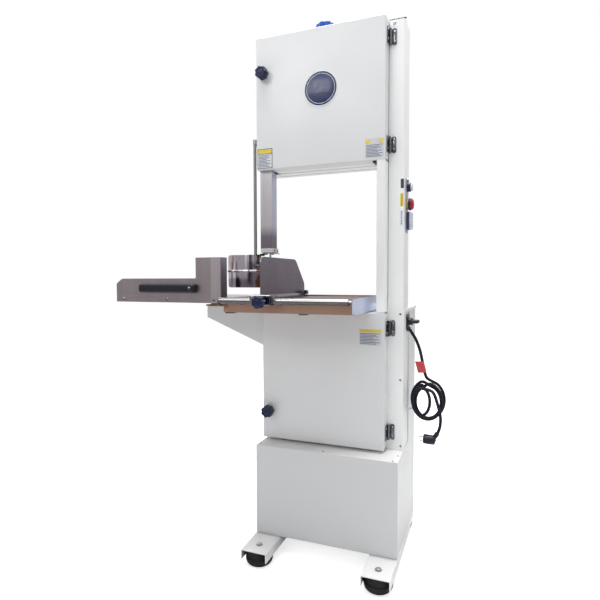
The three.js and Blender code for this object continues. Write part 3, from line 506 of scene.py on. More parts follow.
def add_tube(bm, points, radius, segments=12):
    """A round bar along points given in the saw's millimetres."""
    path = [at(*p) for p in points]
    rings = []
    side = None
    for i, here in enumerate(path):
        along = (path[min(i + 1, len(path) - 1)] - path[max(i - 1, 0)]).normalized()
        if side is None:
            side = along.cross(Z_AXIS if abs(along.z) < 0.9 else X_AXIS).normalized()
        side = (side - along * side.dot(along)).normalized()
        other = along.cross(side)
        turns = [TAU * k / segments for k in range(segments)]
        rings.append([bm.verts.new(here + radius * MM * (side * math.cos(a) + other * math.sin(a)))
                      for a in turns])
    for low, high in zip(rings, rings[1:]):
        join(bm, low, high)
    bm.faces.new(rings[0])
    bm.faces.new(rings[-1])


def spline(controls, per_span=8):
    """A Catmull-Rom curve through control points."""
    points = []
    padded = [controls[0]] + list(controls) + [controls[-1]]
    for a, b, c, d in zip(padded, padded[1:], padded[2:], padded[3:]):
        a, b, c, d = map(Vector, (a, b, c, d))
        for i in range(per_span):
            t = i / per_span
            points.append(0.5 * (2 * b + (c - a) * t + (2 * a - 5 * b + 4 * c - d) * t * t
                                 + (3 * b - a - 3 * c + d) * t * t * t))
    return [tuple(p) for p in points] + [tuple(controls[-1])]


def add_screw(bm, origin, direction, radius=4.5, height=2.4):
    """A pan-head screw with a hexagon socket."""
    profile = [(0, 0.9), (radius * 0.42, 0.9), (radius * 0.45, height), (radius * 0.62, height)]
    for i in range(1, 5):
        a = 0.5 * math.pi * i / 4
        profile.append((radius * (0.62 + 0.38 * math.sin(a)), height * math.cos(a) * 0.82 + height * 0.18))
    profile += [(radius, 0), (0, 0)]
    add_lathe(bm, profile, origin, direction, 24)


def add_screws(bm, origins, direction, radius, height):
    for origin in origins:
        add_screw(bm, origin, direction, radius, height)


def hexagon(across):
    r = across / math.sqrt(3)
    return [(r * math.cos(TAU * i / 6), r * math.sin(TAU * i / 6)) for i in range(6)]


# ---------- carried-over CAD sheets ----------
CAD_LOOKS = {
    "white": ("upper_door", "lower_door", "table_bracket"),
    "white_base": ("base_cabinet", "motor_cabinet"),
    "white_frame": ("upper_housing", "column", "return_blade_guard", "lower_housing",
                    "motor_cabinet_lid"),
    "white_channel": ("left_foot_channel", "right_foot_channel"),
    "steel_x": ("carriage_guard", "carriage_tray", "control_plate"),
    "copper": ("carriage_bearings",),
    "mirror": ("pusher_plate",),
    "steel_y": ("fence_plate",),
    "steel_z": ("guide_post",),
    "steel_guide": ("guide_channel",),
    "table": ("table_tray",),
    "polished": ("fence_clamp", "pusher_arm"),
    "nylon": ("guide_block",),
    "cast": ("guide_bracket", "motor", "motor_pulley", "upper_wheel", "lower_wheel"),
    "blade": ("tension_slide", "drive_shaft"),
    "belt": ("drive_belt",),
    "black": ("main_switch_body",),
    "slate": ("start_stop_body",),
}
EDGE_WIDTHS = {"white": 0.7, "white_frame": 0.5, "white_base": 0.8, "white_channel": 0.8, "table": 0.5,
               "steel_x": 0.4, "steel_y": 0.4, "steel_z": 0.4, "steel_guide": 0.4}


def round_edges(node, width):
    """Softens a CAD sheet's folds with modifiers; its own mesh stays as it is."""
    weld = node.modifiers.new("weld", "WELD")
    weld.merge_threshold = 0.01 * MM
    bevel = node.modifiers.new("bevel", "BEVEL")
    bevel.width = width * MM
    bevel.segments = 2
    bevel.limit_method = "ANGLE"
    bevel.angle_limit = math.radians(40)
    normals = node.modifiers.new("normals", "WEIGHTED_NORMAL")
    normals.weight = 80
    node.data.polygons.foreach_set("use_smooth", [True] * len(node.data.polygons))


def dress_cad():
    for look, names in CAD_LOOKS.items():
        for name in names:
            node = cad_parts[name]
            node.data.materials.clear()
            node.data.materials.append(M[look])
            round_edges(node, EDGE_WIDTHS.get(look, 0.6))


# ---------- feet ----------
CHANNEL_TOP = local_box("left_foot_channel")[1].z


def make_feet():
    bowl = spline([(0, 0), (26.5, 0), (34, 2.6), (39.5, 7.5), (42.8, 13.5), (44, 20), (43.9, 25.4)], 5)
    profile = [(r, max(h, 0)) for r, h in (p[:2] for p in bowl)]
    profile += [(43, 26.6), (40.3, 26.7), (40, 27.2), (40, 54), (0, 54)]
    for side in ("left", "right"):
        for end in ("front", "rear"):
            node = f"rubber_foot_{end}_{side}"
            x, y = middle(node).xy
            make_piece(f"{node}_smooth", "foot", "frame", add_lathe, profile, (x, y, 0), Z_AXIS, 72,
                       replaces=[node])
            bm = bmesh.new()
            washer = [(0, 0), (10.5, 0), (10.5, 1.1), (10.1, 1.5), (0, 1.5)]
            add_lathe(bm, washer, (x, y, CHANNEL_TOP), Z_AXIS)
            add_lathe(bm, [(0, 1.4), (7.6, 1.4), (7.6, 3.4), (6.8, 5.2), (4.4, 6.4), (0, 6.8)],
                      (x, y, CHANNEL_TOP), Z_AXIS)
            finish_piece(f"foot_bolt_{end}_{side}", bm, "zinc")


# ---------- hinges ----------
LEAF = 2.5
BARREL_R = 4.5
LEAF_WIDTH = 14


def make_hinge(name, door):
    frame_lo, frame_hi = local_box(f"{name}_frame_leaf")
    door_lo = local_box(f"{name}_door_leaf")[0]
    lo, hi = frame_lo.z, frame_hi.z
    half = (hi - lo) / 2
    z = lo + half
    pin_x, pin_y = frame_lo.x + BARREL_R, frame_lo.y + BARREL_R
    leaf_face = frame_hi.y - LEAF
    bm = bmesh.new()
    add_prism(bm, rounded_rect(frame_hi.x - LEAF_WIDTH, frame_hi.x, lo, hi, 5.6), LEAF,
              (0, frame_hi.y, 0), -Y_AXIS, bevel=0.7)
    add_box(bm, (pin_x, pin_x + 7), (leaf_face, frame_hi.y), (lo + 5, z - 0.4), 0.3)
    add_lathe(bm, [(0, 0), (3.6, 0), (4.5, 0.9), (4.5, half - 0.8), (4.1, half - 0.4), (2.4, half - 0.4),
                   (2.4, 2 * half - 3), (0, 2 * half - 3)], (pin_x, pin_y, lo), Z_AXIS, 28)
    finish_piece(f"{name}_frame_leaf_smooth", bm, "chrome", replaces=[f"{name}_frame_leaf"])
    bm = bmesh.new()
    x = door_lo.x + 0.05
    add_prism(bm, rounded_rect(door_lo.y, door_lo.y + 20, lo, hi, 5.6), LEAF - 0.1, (x, 0, 0), X_AXIS, Z_AXIS,
              bevel=0.7)
    add_box(bm, (x, x + LEAF - 0.05), (door_lo.y + 18, pin_y), (z + 0.4, hi - 5), 0.3)
    tube = [(2.9, 0), (4.1, 0), (4.5, 0.4), (4.5, half - 0.9), (3.6, half), (2.9, half)]
    add_lathe(bm, tube + tube[:1], (pin_x, pin_y, z), Z_AXIS, 28)
    finish_piece(f"{name}_door_leaf_smooth", bm, "chrome", door, [f"{name}_door_leaf"])
    heights = (z - 15, z + 15)
    places = [(frame_hi.x - 6.4, leaf_face, height) for height in heights]
    make_piece(f"{name}_frame_screws", "zinc", "frame", add_screws, places, -Y_AXIS, 3.4, 1.4)
    places = [(x + LEAF - 0.1, door_lo.y + 8, height) for height in heights]
    make_piece(f"{name}_door_screws", "zinc", door, add_screws, places, X_AXIS, 3.4, 1.4)


def make_hinges():
    for door in ("upper_door", "lower_door"):
        for end in ("top", "bottom"):
            make_hinge(f"{door}_hinge_{end}", door)


# ---------- hand knobs ----------
def make_knob(node, body, look, origin, direction, radius, back, front, neck, stud):
    """A lobed grip with a dished crown, measured from its origin along the direction; the stud runs back."""
    profile = [
        (0, back - 6, 0), (neck, back - 6, 0), (neck, back - 0.6, 0.1), (radius - 3.2, back, 0.9),
        (radius - 1, back + 0.9, 1), (radius, back + 3, 1), (radius, front - 5, 1),
        (radius - 0.5, front - 2.8, 1), (radius - 1.8, front - 1, 1), (radius - 3.8, front, 0.95),
        (radius * 0.64, front - 0.4, 0.4), (radius * 0.55, front - 1.4, 0), (radius * 0.47, front - 1.4, 0),
        (radius * 0.44, front - 0.4, 0), (radius * 0.36, front, 0), (0, front + 0.2, 0),
    ]
    bm = bmesh.new()
    add_lathe(bm, profile, origin, direction, 84, 7)
    finish_piece(f"{node}_grip", bm, look, body, [node], smooth_angle=50)
    stud_r, stud_end = stud
    ridges = [(0, back - 5.5), (stud_r, back - 5.5)]
    depth = back - 9
    while depth > stud_end + 1.5:
        ridges += [(stud_r, depth), (stud_r - 0.5, depth - 0.7)]
        depth -= 1.4
    ridges += [(stud_r - 1, stud_end), (0, stud_end)]
    make_piece(f"{node}_stud", "zinc", body, add_lathe, ridges, origin, direction, 24)


def make_knobs():
    radius = 21
    for node in ("upper_door_knob", "lower_door_knob"):
        x = local_box(node)[1].x - radius
        make_knob(node, node, "navy", (x, 0, middle(node).z), -Y_AXIS, radius, 6.3, 34, 11.5, (5, -40))
    radius, length = 20, 24
    lo, hi = local_box("fence_knob")
    place_on = (hi.x - radius, lo.y + length, middle("fence_knob").z)
    make_knob("fence_knob", "fence_knob", "navy", place_on, -Y_AXIS, radius, 6, length, 11, (5, -19.5))
    radius, height = 32, 28
    hi = local_box("tension_knob")[1]
    foot = (hi.x - radius, middle("tension_knob").y, hi.z - height)
    make_knob("tension_knob", "tension_screw", "blue", foot, Z_AXIS, radius, 0, height, 17, (6.5, -184))
    skirt = [(6.6, -14.5), (17, -14.5), (17, -5.5), (6.6, -5.5), (6.6, -14.5)]
    make_piece("tension_knob_skirt", "blue", "tension_screw", add_lathe, skirt, foot, Z_AXIS)


# ---------- badge, labels and seam ----------
def make_badge():
    centre = middle("upper_door") + Vector((10, 0, 23.5))
    spot = (centre.x, 0, centre.z)
    make_piece("badge_disc", "film_blue", "upper_door", add_lathe,
               [(0, 0), (54, 0), (54, 0.9), (53.2, 1.2), (0, 1.4)], spot, -Y_AXIS, 96)
    bm = bmesh.new()
    for inner, outer in ((54.1, 56.5), (47, 48.4)):
        ring = [(inner, 0), (outer, 0), (outer, 1.4), (outer - 0.4, 1.7), (inner + 0.4, 1.7), (inner, 1.4)]
        add_lathe(bm, ring + ring[:1], spot, -Y_AXIS, 96)
    finish_piece("badge_rings", bm, "film_white", "upper_door")


def make_label(name, body, xs, zs, front, layers):
    """A printed label: layers are (look, [(x0, x1, z0, z1) as shares of its width and height]).

    Higher layers lie a little prouder.
    """
    width, height = xs[1] - xs[0], zs[1] - zs[0]
    for i, (look, patches) in enumerate(layers):
        bm = bmesh.new()
        for x0, x1, z0, z1 in patches:
            outline = rounded_rect(xs[0] + x0 * width, xs[0] + x1 * width, zs[0] + z0 * height,
                                   zs[0] + z1 * height, 0.4 if i else 1.6)
            add_prism(bm, outline, 0.18 * (i + 1), (0, front, 0), -Y_AXIS)
        finish_piece(f"{name}_{look}", bm, look, body)


def ruled_lines(x0, x1, z0, z1, count, shortfalls):
    """Plain ruled lines in place of print: every line ends a little differently."""
    pitch = (z1 - z0) / count
    return [
        (x0, x1 - shortfalls[i % len(shortfalls)] * (x1 - x0),
         z1 - pitch * (i + 0.75), z1 - pitch * (i + 0.3))
        for i in range(count)
    ]


def make_door_labels():
    ragged = (0.02, 0.2, 0.08, 0.35, 0.05, 0.28)
    whole = (0, 1, 0, 1)
    lo, hi = local_box("upper_door")
    make_label("notice_upper_left", "upper_door", (lo.x + 4, lo.x + 59), (lo.z + 4, lo.z + 70), 0, [
        ("film_dark", [whole]),
        ("film_white", [(0.04, 0.96, 0.03, 0.72)]),
        ("film_yellow", [(0.04, 0.96, 0.75, 0.97)]),
        ("film_grey", ruled_lines(0.09, 0.9, 0.06, 0.7, 9, ragged)),
    ])
    make_label("notice_upper_right", "upper_door", (hi.x - 64, hi.x - 4), (lo.z + 6, lo.z + 67), 0, [
        ("film_pale", [whole]),
        ("film_yellow", [(0.04, 0.28, 0.75, 0.95), (0.72, 0.96, 0.75, 0.95)]),
        ("film_grey", ruled_lines(0.06, 0.94, 0.05, 0.7, 9, ragged)),
    ])
    lo, hi = local_box("lower_door")
    make_label("notice_lower", "lower_door", (hi.x - 81, hi.x - 9), (hi.z - 106, hi.z - 54), 0, [
        ("film_pale", [whole]),
        ("film_yellow", [(0.015, 0.985, 0.81, 0.98)]),
        ("film_grey", ruled_lines(0.04, 0.95, 0.06, 0.78, 8, ragged)),
    ])


def make_control_labels():
    """A narrow label on the column beside each control."""
    whole = (0, 1, 0, 1)
    column_lo, column_hi = local_box("column")
    stop_marks = [(0.4, 0.62, z, z + 0.08) for z in (0.1, 0.24, 0.38, 0.52, 0.66, 0.8)]
    start_marks = [(0.4, 0.62, z, z + 0.1) for z in (0.12, 0.3, 0.5, 0.68, 0.84)]
    labels = (
        ("label_reset", "reset_button", 1.1, 10.1, 10, 29.8, [("film_dark", [whole])]),
        ("label_stop", "estop_button", 2.3, 10.3, 12.3, 42.3,
         [("film_yellow", [whole]), ("film_dark", stop_marks)]),
        ("label_start", "start_stop_body", 2.9, 10.8, 20.2, 49.5,
         [("film_white", [whole]), ("film_dark", start_marks)]),
    )
    for name, node, inset, width, below, height, layers in labels:
        right = column_hi.x - inset
        bottom = middle(node).z - below
        make_label(name, "frame", (right - width, right), (bottom, bottom + height), column_lo.y, layers)


def make_housing_seam():
    """The folded seam across the underside of the upper housing."""
    lo = local_box("upper_housing")[0]
    bm = bmesh.new()
    add_box(bm, (lo.x + 34, -12), (lo.y + 26, lo.y + 29), (lo.z - 2, lo.z + 0.5), 0.4)
    add_box(bm, (lo.x + 34, -12), (lo.y + 70, lo.y + 73), (lo.z - 1.6, lo.z + 0.5), 0.4)
    finish_piece("upper_housing_seam", bm, "white")


# ---------- screws and small fittings of the sheet metal ----------
def make_screws():
    column_lo, column_hi = local_box("column")
    housing_lo, housing_hi = local_box("lower_housing")
    base_lo, base_hi = local_box("base_cabinet")
    bm = bmesh.new()
    add_screw(bm, (column_lo.x + 17.4, column_lo.y, column_hi.z - 10.3), -Y_AXIS, 4.5, 2.2)
    for left, up in ((10.1, 445.7), (9.1, 231.7), (7.1, 15.7)):
        add_screw(bm, (housing_hi.x - left, housing_lo.y, housing_lo.z + up), -Y_AXIS, 3.8, 1.8)
    for right, back in ((9, 18.5), (9, 69.5), (234.5, 14.5), (461, 8.5), (467.6, 59.5)):
        add_screw(bm, (base_lo.x + right, base_lo.y + back, base_hi.z), Z_AXIS, 3.4, 1.6)
    finish_piece("cabinet_screws", bm, "zinc")
    make_piece("column_cap_seal", "foot", "frame", add_box, (column_lo.x, column_hi.x + 3),
               (column_lo.y, column_lo.y + 7), (column_hi.z, column_hi.z + 2.4), 0.6)
    lo, hi = local_box("motor_cabinet")
    places = [(lo.x + right, hi.y, lo.z + up) for right in (22.6, 238.6, 454.6) for up in (52, 342, 642)]
    make_piece("rear_cover_screws", "zinc", "frame", add_screws, places, Y_AXIS, 4.5, 2.2)
    lo, hi = local_box("upper_door")
    make_piece("door_interlock_key", "black", "upper_door", add_box, (hi.x - 41, hi.x - 32),
               (lo.y + 10, lo.y + 50), (lo.z - 6, lo.z), 0.8)


# ---------- table ----------
def make_rail():
    lo, hi = local_box("fence_rail")
    r = 9.5
    y, z = lo.y + r, hi.z - r
    start, end = lo.x + 5, hi.x - 9.2
    length = end - start
    bm = bmesh.new()
    add_lathe(bm, [(0, 0), (r - 1.2, 0), (r, 1.2), (r, length - 1.2), (r - 1.2, length), (5, length),
                   (5, hi.x - start), (0, hi.x - start)], (start, y, z), X_AXIS, 64)
    add_box(bm, (lo.x, start + 10), (y - 8, hi.y), (z + 4.2, z + 8), 0.8)
    add_box(bm, (lo.x, start + 1), (y - 5, y + 5), (z - 17, z + 5), 0.8)
    finish_piece("fence_rail_smooth", bm, "rail", replaces=["fence_rail"])


def make_table_details():
    lo, hi = local_box("table_tray")
    front = local_box("fence_rail")[1].y + 0.3
    bm = bmesh.new()
    for x in (lo.x + 65, lo.x + 199):
        add_prism(bm, hexagon(6.5), 3, (x, front, hi.z - 22), -Y_AXIS, bevel=0.4)
        add_lathe(bm, [(0, 0), (4.6, 0), (4.6, 0.7), (4.2, 1), (0, 1)], (x, front, hi.z - 22), -Y_AXIS, 28)
    finish_piece("rail_nuts", bm, "zinc")
    # painted highlight: a thin bright strip on the table's front left corner
    make_piece("table_corner_highlight", "corner_highlight", "frame", add_box, (lo.x + 2, lo.x + 16),
               (front - 0.6, front + 0.5), (hi.z - 45, hi.z - 7), 0.2)
    bm = bmesh.new()
    for x, width in ((lo.x + 3, 28), (lo.x + 252, 25)):
        add_box(bm, (x, x + width), (front + 6, front + 30), (lo.z - 1.3, lo.z + 4.7), 0.6)
    finish_piece("table_underside_tabs", bm, "film_dark")
    # painted shade: a dark strip standing for the shadowed gap at the table's rear end
    make_piece("table_rear_gap_shade", "film_dark", "frame", add_box, (hi.x - 0.4, hi.x + 0.3),
               (hi.y - 4, hi.y - 0.1), (lo.z + 6.7, hi.z - 2), 0.1)


def make_fence_details():
    table_hi = local_box("table_tray")[1]
    plate_lo, plate_hi = local_box("fence_plate")
    make_piece("fence_rear_bracket", "steel_z", "fence", add_prism,
               rounded_rect(plate_lo.x + 0.5, plate_lo.x + 28.5, table_hi.z + 1, table_hi.z + 17, 4), 3,
               (0, table_hi.y + 4, 0), -Y_AXIS, bevel=0.4)
    grip = [(0, 0, 0), (4, 0, 0), (4, 2.4, 0), (5.8, 3, 1), (6.4, 4, 1), (6.4, 8.6, 1), (5.6, 10, 1),
            (3, 10.6, 0), (0, 10.8, 0)]
    make_piece("fence_rear_knob", "navy", "fence", add_lathe, grip,
               (plate_hi.x - 0.5, table_hi.y + 1, table_hi.z + 10), -Y_AXIS, 56, 7)
    lo, hi = local_box("fence_clamp")
    places = [(lo.x + right, lo.y, hi.z - 7) for right in (8, 22)]
    make_piece("fence_clamp_screws", "zinc", "fence", add_screws, places, -Y_AXIS, 3.6, 1.6)


# ---------- carriage ----------
def make_handle():
    face = local_box("carriage_guard")[0].y
    lo, hi = local_box("carriage_handle")
    z = middle("carriage_handle").z
    bm = bmesh.new()
    add_pill(bm, (lo.x, hi.x), (lo.z, hi.z), 19, 9, 7, (0, face - 5, 0), -Y_AXIS)
    left, right = lo.x + 18, hi.x - 23
    for x in (left, right):
        foot = [(0, 0.3), (11.5, 0.3), (11.5, 1.5), (11, 3), (11, 8), (0, 8)]
        add_lathe(bm, foot, (x, face, z), -Y_AXIS, 40)
    finish_piece("carriage_handle_smooth", bm, "black", "carriage", ["carriage_handle"])
    make_piece("handle_screw", "zinc", "carriage", add_screw, (right + 8, face - 23.4, z + 1), -Y_AXIS, 5,
               1.6)
    make_piece("handle_plug", "foot", "carriage", add_lathe, [(0, 0), (5, 0), (4.6, 0.9), (0, 1.2)],
               (left, face - 23.6, z + 1), -Y_AXIS, 32)


def make_guard_details():
    lo, hi = local_box("carriage_guard")
    face = lo.y
    bm = bmesh.new()
    left, right = hi.x - 37, hi.x - 3.5
    outer = [(left, face - 1.3), (left + 2.2, face - 1.3), (right, face + 3.6)]
    inner = [(right, face + 4.7), (left + 2, face - 0.1), (left, face - 0.1)]
    add_prism(bm, outer + inner, hi.z - lo.z - 3, (0, 0, lo.z + 1.5), Z_AXIS, Y_AXIS)
    # painted light: the strip's steel is a lighter copy of the guard's
    finish_piece("guard_overlap_strip", bm, "steel_strip", "carriage")
    places = [(lo.x + right, face, lo.z + 10) for right in (30, 210)]
    make_piece("guard_bolts", "zinc", "carriage", add_screws, places, -Y_AXIS, 5.2, 2.6)
    make_piece("guard_small_bolt", "film_dark", "carriage", add_screw, (left + 10, face - 1.6, lo.z + 9),
               -Y_AXIS, 3.4, 1.6)


# ---------- blade, guide and pusher ----------
WHEEL_X, UPPER_WHEEL_Z = middle("upper_wheel").x, middle("upper_wheel").z
LOWER_WHEEL_Z = middle("lower_wheel").z
BLADE_R = 200.3
BLADE_FRONT, BLADE_BACK = (corner.y for corner in local_box("saw_blade"))
TOOTH_PITCH, TOOTH_DEPTH = 6, 2.6


def blade_point(distance, proud):
    """A point of the blade loop at a distance along it, and this much outside the wheels."""
    straight = UPPER_WHEEL_Z - LOWER_WHEEL_Z
    arc = math.pi * BLADE_R
    r = BLADE_R + proud
    distance %= 2 * (straight + arc)
    if distance < straight:
        return WHEEL_X - r, UPPER_WHEEL_Z - distance
    distance -= straight
    if distance < arc:
        a = math.pi + distance / BLADE_R
        return WHEEL_X + r * math.cos(a), LOWER_WHEEL_Z + r * math.sin(a)
    distance -= arc
    if distance < straight:
        return WHEEL_X + r, LOWER_WHEEL_Z + distance
    a = (distance - straight) / BLADE_R
    return WHEEL_X + r * math.cos(a), UPPER_WHEEL_Z + r * math.sin(a)


def make_blade():
    """The toothed band: every tooth leans down on the cutting side and has a rounded gullet."""
    length = 2 * (UPPER_WHEEL_Z - LOWER_WHEEL_Z) + TAU * BLADE_R
    count = round(length / TOOTH_PITCH)
    tooth = ((0.0, 0.0), (0.18, 0.75), (0.4, 1.0), (0.62, 0.75))
    bm = bmesh.new()
    rings = []
    for i in range(count):
        for share, depth in tooth:
            distance = (i + share) * length / count
            y = BLADE_FRONT + depth * TOOTH_DEPTH
            low, high = blade_point(distance, 0.04), blade_point(distance, 0.6)
            corners = ((low[0], y, low[1]), (high[0], y, high[1]), (high[0], BLADE_BACK, high[1]),
                       (low[0], BLADE_BACK, low[1]))
            rings.append([bm.verts.new(at(*c)) for c in corners])
    for low, high in zip(rings, rings[1:] + rings[:1]):
        join(bm, low, high)
    finish_piece("saw_blade_toothed", bm, "blade", replaces=["saw_blade"])


def make_guide_details():
    bottom = local_box("guide_post")[0].z
    lo, hi = local_box("guide_block")
    bm = bmesh.new()
    add_prism(bm, hexagon(11), 4.5, (lo.x + 13.4, lo.y + 16, bottom), -Z_AXIS, bevel=0.6)
    add_prism(bm, hexagon(9), 4, (lo.x + 34.2, lo.y + 28, bottom), -Z_AXIS, bevel=0.6)
    for y in (lo.y + 10, hi.y - 10):
        add_screw(bm, (hi.x, y, lo.z + 6.7), X_AXIS, 3.4, 1.6)
    finish_piece("guide_bolts", bm, "zinc", "blade_guide")
    bm = bmesh.new()
    add_box(bm, (lo.x - 5, lo.x + 6.4), (lo.y + 4, lo.y + 22), (bottom - 8, bottom - 0.4), 1)
    add_box(bm, (lo.x + 4, lo.x + 8), (lo.y + 5, lo.y + 21), (bottom - 5, bottom), 0.6)
    finish_piece("guide_wear_pad", bm, "foot", "blade_guide")


def make_pusher_details():
    lo = local_box("pusher_arm")[0]
    make_piece("pusher_pivot_nut", "zinc", "pusher", add_prism, hexagon(15), 6,
               (lo.x + 6.5, lo.y + 11.6, lo.z + 6.5), -Y_AXIS, bevel=0.8)


# ---------- controls ----------
def strip_piece(name, look, body, profile, z, segments, **settings):
    """A turned piece that stands out from the control strip at a height."""
    origin = (local_box("control_plate")[1].x, middle("control_plate").y, z)
    make_piece(name, look, body, add_lathe, profile, origin, X_AXIS, segments, **settings)


def make_reset():
    node = "reset_button"
    z = middle(node).z
    plunger = [(0, 1.9), (6.3, 1.9), (6.3, 7), (11.4, 7), (11.9, 7.5), (11.9, 13.2), (11.2, 15.2),
               (9.2, 15.9), (8.8, 15.2), (0, 15.0)]
    strip_piece("reset_button_smooth", "blue", node, plunger, z, 56, replaces=[node])
    ring = [(13, 0), (15.4, 0), (15.4, 3), (14.4, 4.6), (14.4, 10.4), (13.9, 11.2), (13, 11.2)]
    strip_piece("reset_bezel", "navy", "frame", ring + ring[:1], z, 64)
    skin = [(0, 16.3), (7.6, 16.3), (11, 15.6), (12, 14), (12, 11.5), (12.6, 11.5), (12.6, 14.6),
            (11.6, 16.4), (8, 17.1), (0, 17.2)]
    strip_piece("reset_button_boot", "boot", node, skin, z, 56)


def make_estop():
    node = "estop_button"
    z = middle(node).z
    stem = [(0, 2.9), (9.8, 2.9), (9.8, 10.5), (16, 10.5), (16.4, 6), (18.2, 5.1)]
    crown = [(18.9, 6), (19.2, 8), (19, 12), (17.6, 16), (14.8, 18.9), (10.5, 20.6), (5, 21.2), (0, 21.3)]
    strip_piece("estop_button_smooth", "red", node, stem + crown, z, 72, replaces=[node])
    collar = [(11.8, 0), (15.2, 0), (15.2, 3.6), (14.6, 4.4), (11.8, 4.4)]
    strip_piece("estop_collar", "yellow", "frame", collar + collar[:1], z, 64)
    shroud = [(16.6, 5.2), (18.4, 5), (19.4, 6), (19.5, 11.5), (18.9, 12.6), (16.6, 12.6)]
    strip_piece("estop_shroud", "navy", node, shroud + shroud[:1], z, 72)


def make_start_stop():
    cap = [(0, 4.4), (9.6, 4.4), (9.6, 11.9), (9, 12.8), (7.6, 13.1), (7.2, 12.7), (0, 12.5)]
    for node, look in (("start_button", "green"), ("stop_button", "red")):
        strip_piece(f"{node}_smooth", look, node, cap, middle(node).z, 48, replaces=[node])
    dome = [(0, 0), (8.6, 0), (8.3, 1.6), (6.6, 3.6), (3.6, 4.6), (0, 4.9)]
    strip_piece("strip_dome_screw", "polished", "frame", dome, local_box("control_plate")[1].z - 9.5, 40)


def make_boot():
    """The clear splash boot over start and stop."""
    lo, hi = local_box("start_stop_body")

    def outline_at(inset):
        gap = inset + 0.5
        return rounded_rect(lo.y + gap, hi.y - gap, lo.z + gap, hi.z - gap, max(7 - inset * 0.8, 1), 6)

    make_piece("start_stop_boot", "boot", "frame", add_loft, outline_at,
               [(1.4, 6.6), (1.2, 0.1), (0, 0.1), (0, 3.5), (0.5, 5.4), (1.6, 6.9), (3.4, 7.6)],
               (hi.x, 0, 0), X_AXIS, Z_AXIS)


def make_main_switch():
    body_lo, body_hi = local_box("main_switch_body")
    knob_lo, knob_hi = local_box("main_switch_knob")
    face = body_lo.x
    y, z = middle("main_switch_knob").yz
    bm = bmesh.new()
    add_lathe(bm, [(0, 5.4), (12, 5.4), (12, 17.4), (11, 19), (0, 19)], (face, y, z), X_AXIS, 48)
    add_pill(bm, (knob_lo.y, knob_hi.y), (z - 5.5, z + 5.5), 24, 5, 3.2, (face + 15, 0, 0), X_AXIS, Z_AXIS)
    finish_piece("main_switch_knob_smooth", bm, "black", "main_switch", ["main_switch_knob"])
    bm = bmesh.new()
    for screw_y in (body_lo.y + 5, body_hi.y - 5):
        for screw_z in (body_lo.z + 5, body_hi.z - 5):
            add_screw(bm, (body_hi.x - 0.1, screw_y, screw_z), X_AXIS, 2.6, 1.2)
    finish_piece("main_switch_screws", bm, "zinc")
    bm = bmesh.new()
    x, y, z = LEAD[0]
    add_tube(bm, [(face, y, z + 3), (x, y, z), (x + 4, y, z - 3)], 8, 24)
    finish_piece("cable_gland", bm, "black")


# ---------- cable ----------
CABLE_R = 5
LOOP_PITCH = 10.8
LOOPS = ((120.6, 514.8, 52.8, 63.8), (122.5, 508.5, 41.5, 54), (120.5, 512, 47.5, 59.5),
         (103, 513, 26.5, 45.5))
LEAD = ((57, 120, 753), (64, 120, 747), (74, 120, 732), (83, 121, 716), (95, 123, 683), (103, 127, 645),
        (108, 138, 612), (115, 146, 588))


def cable_path():
    """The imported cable's own run: down from the switch, round the coil and out to the plug."""
    points = list(LEAD)
    per_turn = 12
    start_y = 148
    for i in range(len(LOOPS) * per_turn + 1):
        turn = i / per_turn
        angle = math.pi * 0.45 - turn * TAU
        x, z, rx, rz = LOOPS[min(int(turn), len(LOOPS) - 1)]
        points.append((x + rx * math.cos(angle), start_y - LOOP_PITCH * turn, z + rz * math.sin(angle)))
    y = start_y - LOOP_PITCH * len(LOOPS) - 6
    points += [(140, y, 550), (156, y, 510), (165, y, 470), (164, y, 440), (158, y, 419)]
    return points


def make_cable():
    path = cable_path()
    make_piece("power_cable_smooth", "pvc", "frame", add_tube, spline(path, 6), CABLE_R, 20,
               replaces=["power_cable"])
    x, y, z = path[-1]
    bm = bmesh.new()
    neck = (Vector((x - 15, y, z - 23)) - Vector((x, y, z))).normalized()
    ribs = [(0, 0.4), (5.6, 0.4), (6, 3)]
    for i in range(4):
        ribs += [(7.6, 4 + i * 5), (7.8, 6.6 + i * 5), (6.4, 7 + i * 5), (6.4, 8.6 + i * 5)]
    ribs += [(9.5, 25), (11, 29), (0, 29)]
    add_lathe(bm, ribs, (x, y, z), neck, 36)
    body = Vector((-36, 0, 2)).normalized()
    shell = [(0, -3), (9, -3), (13.6, -0.6), (15.5, 3.5), (15.5, 32), (14.6, 34.6), (12.6, 36), (0, 36)]
    add_lathe(bm, shell, (x - 11, y, z - 27), body, 48)
    finish_piece("mains_plug_smooth", bm, "black", replaces=["mains_plug"])
    bm = bmesh.new()
    for drop in (19, 32):
        pin = [(0, 0), (2.4, 0), (2.4, 14.5), (1.8, 16.2), (0, 16.6)]
        add_lathe(bm, pin, (x - 44, y, z - drop), -X_AXIS, 20)
    finish_piece("plug_pins", bm, "polished")


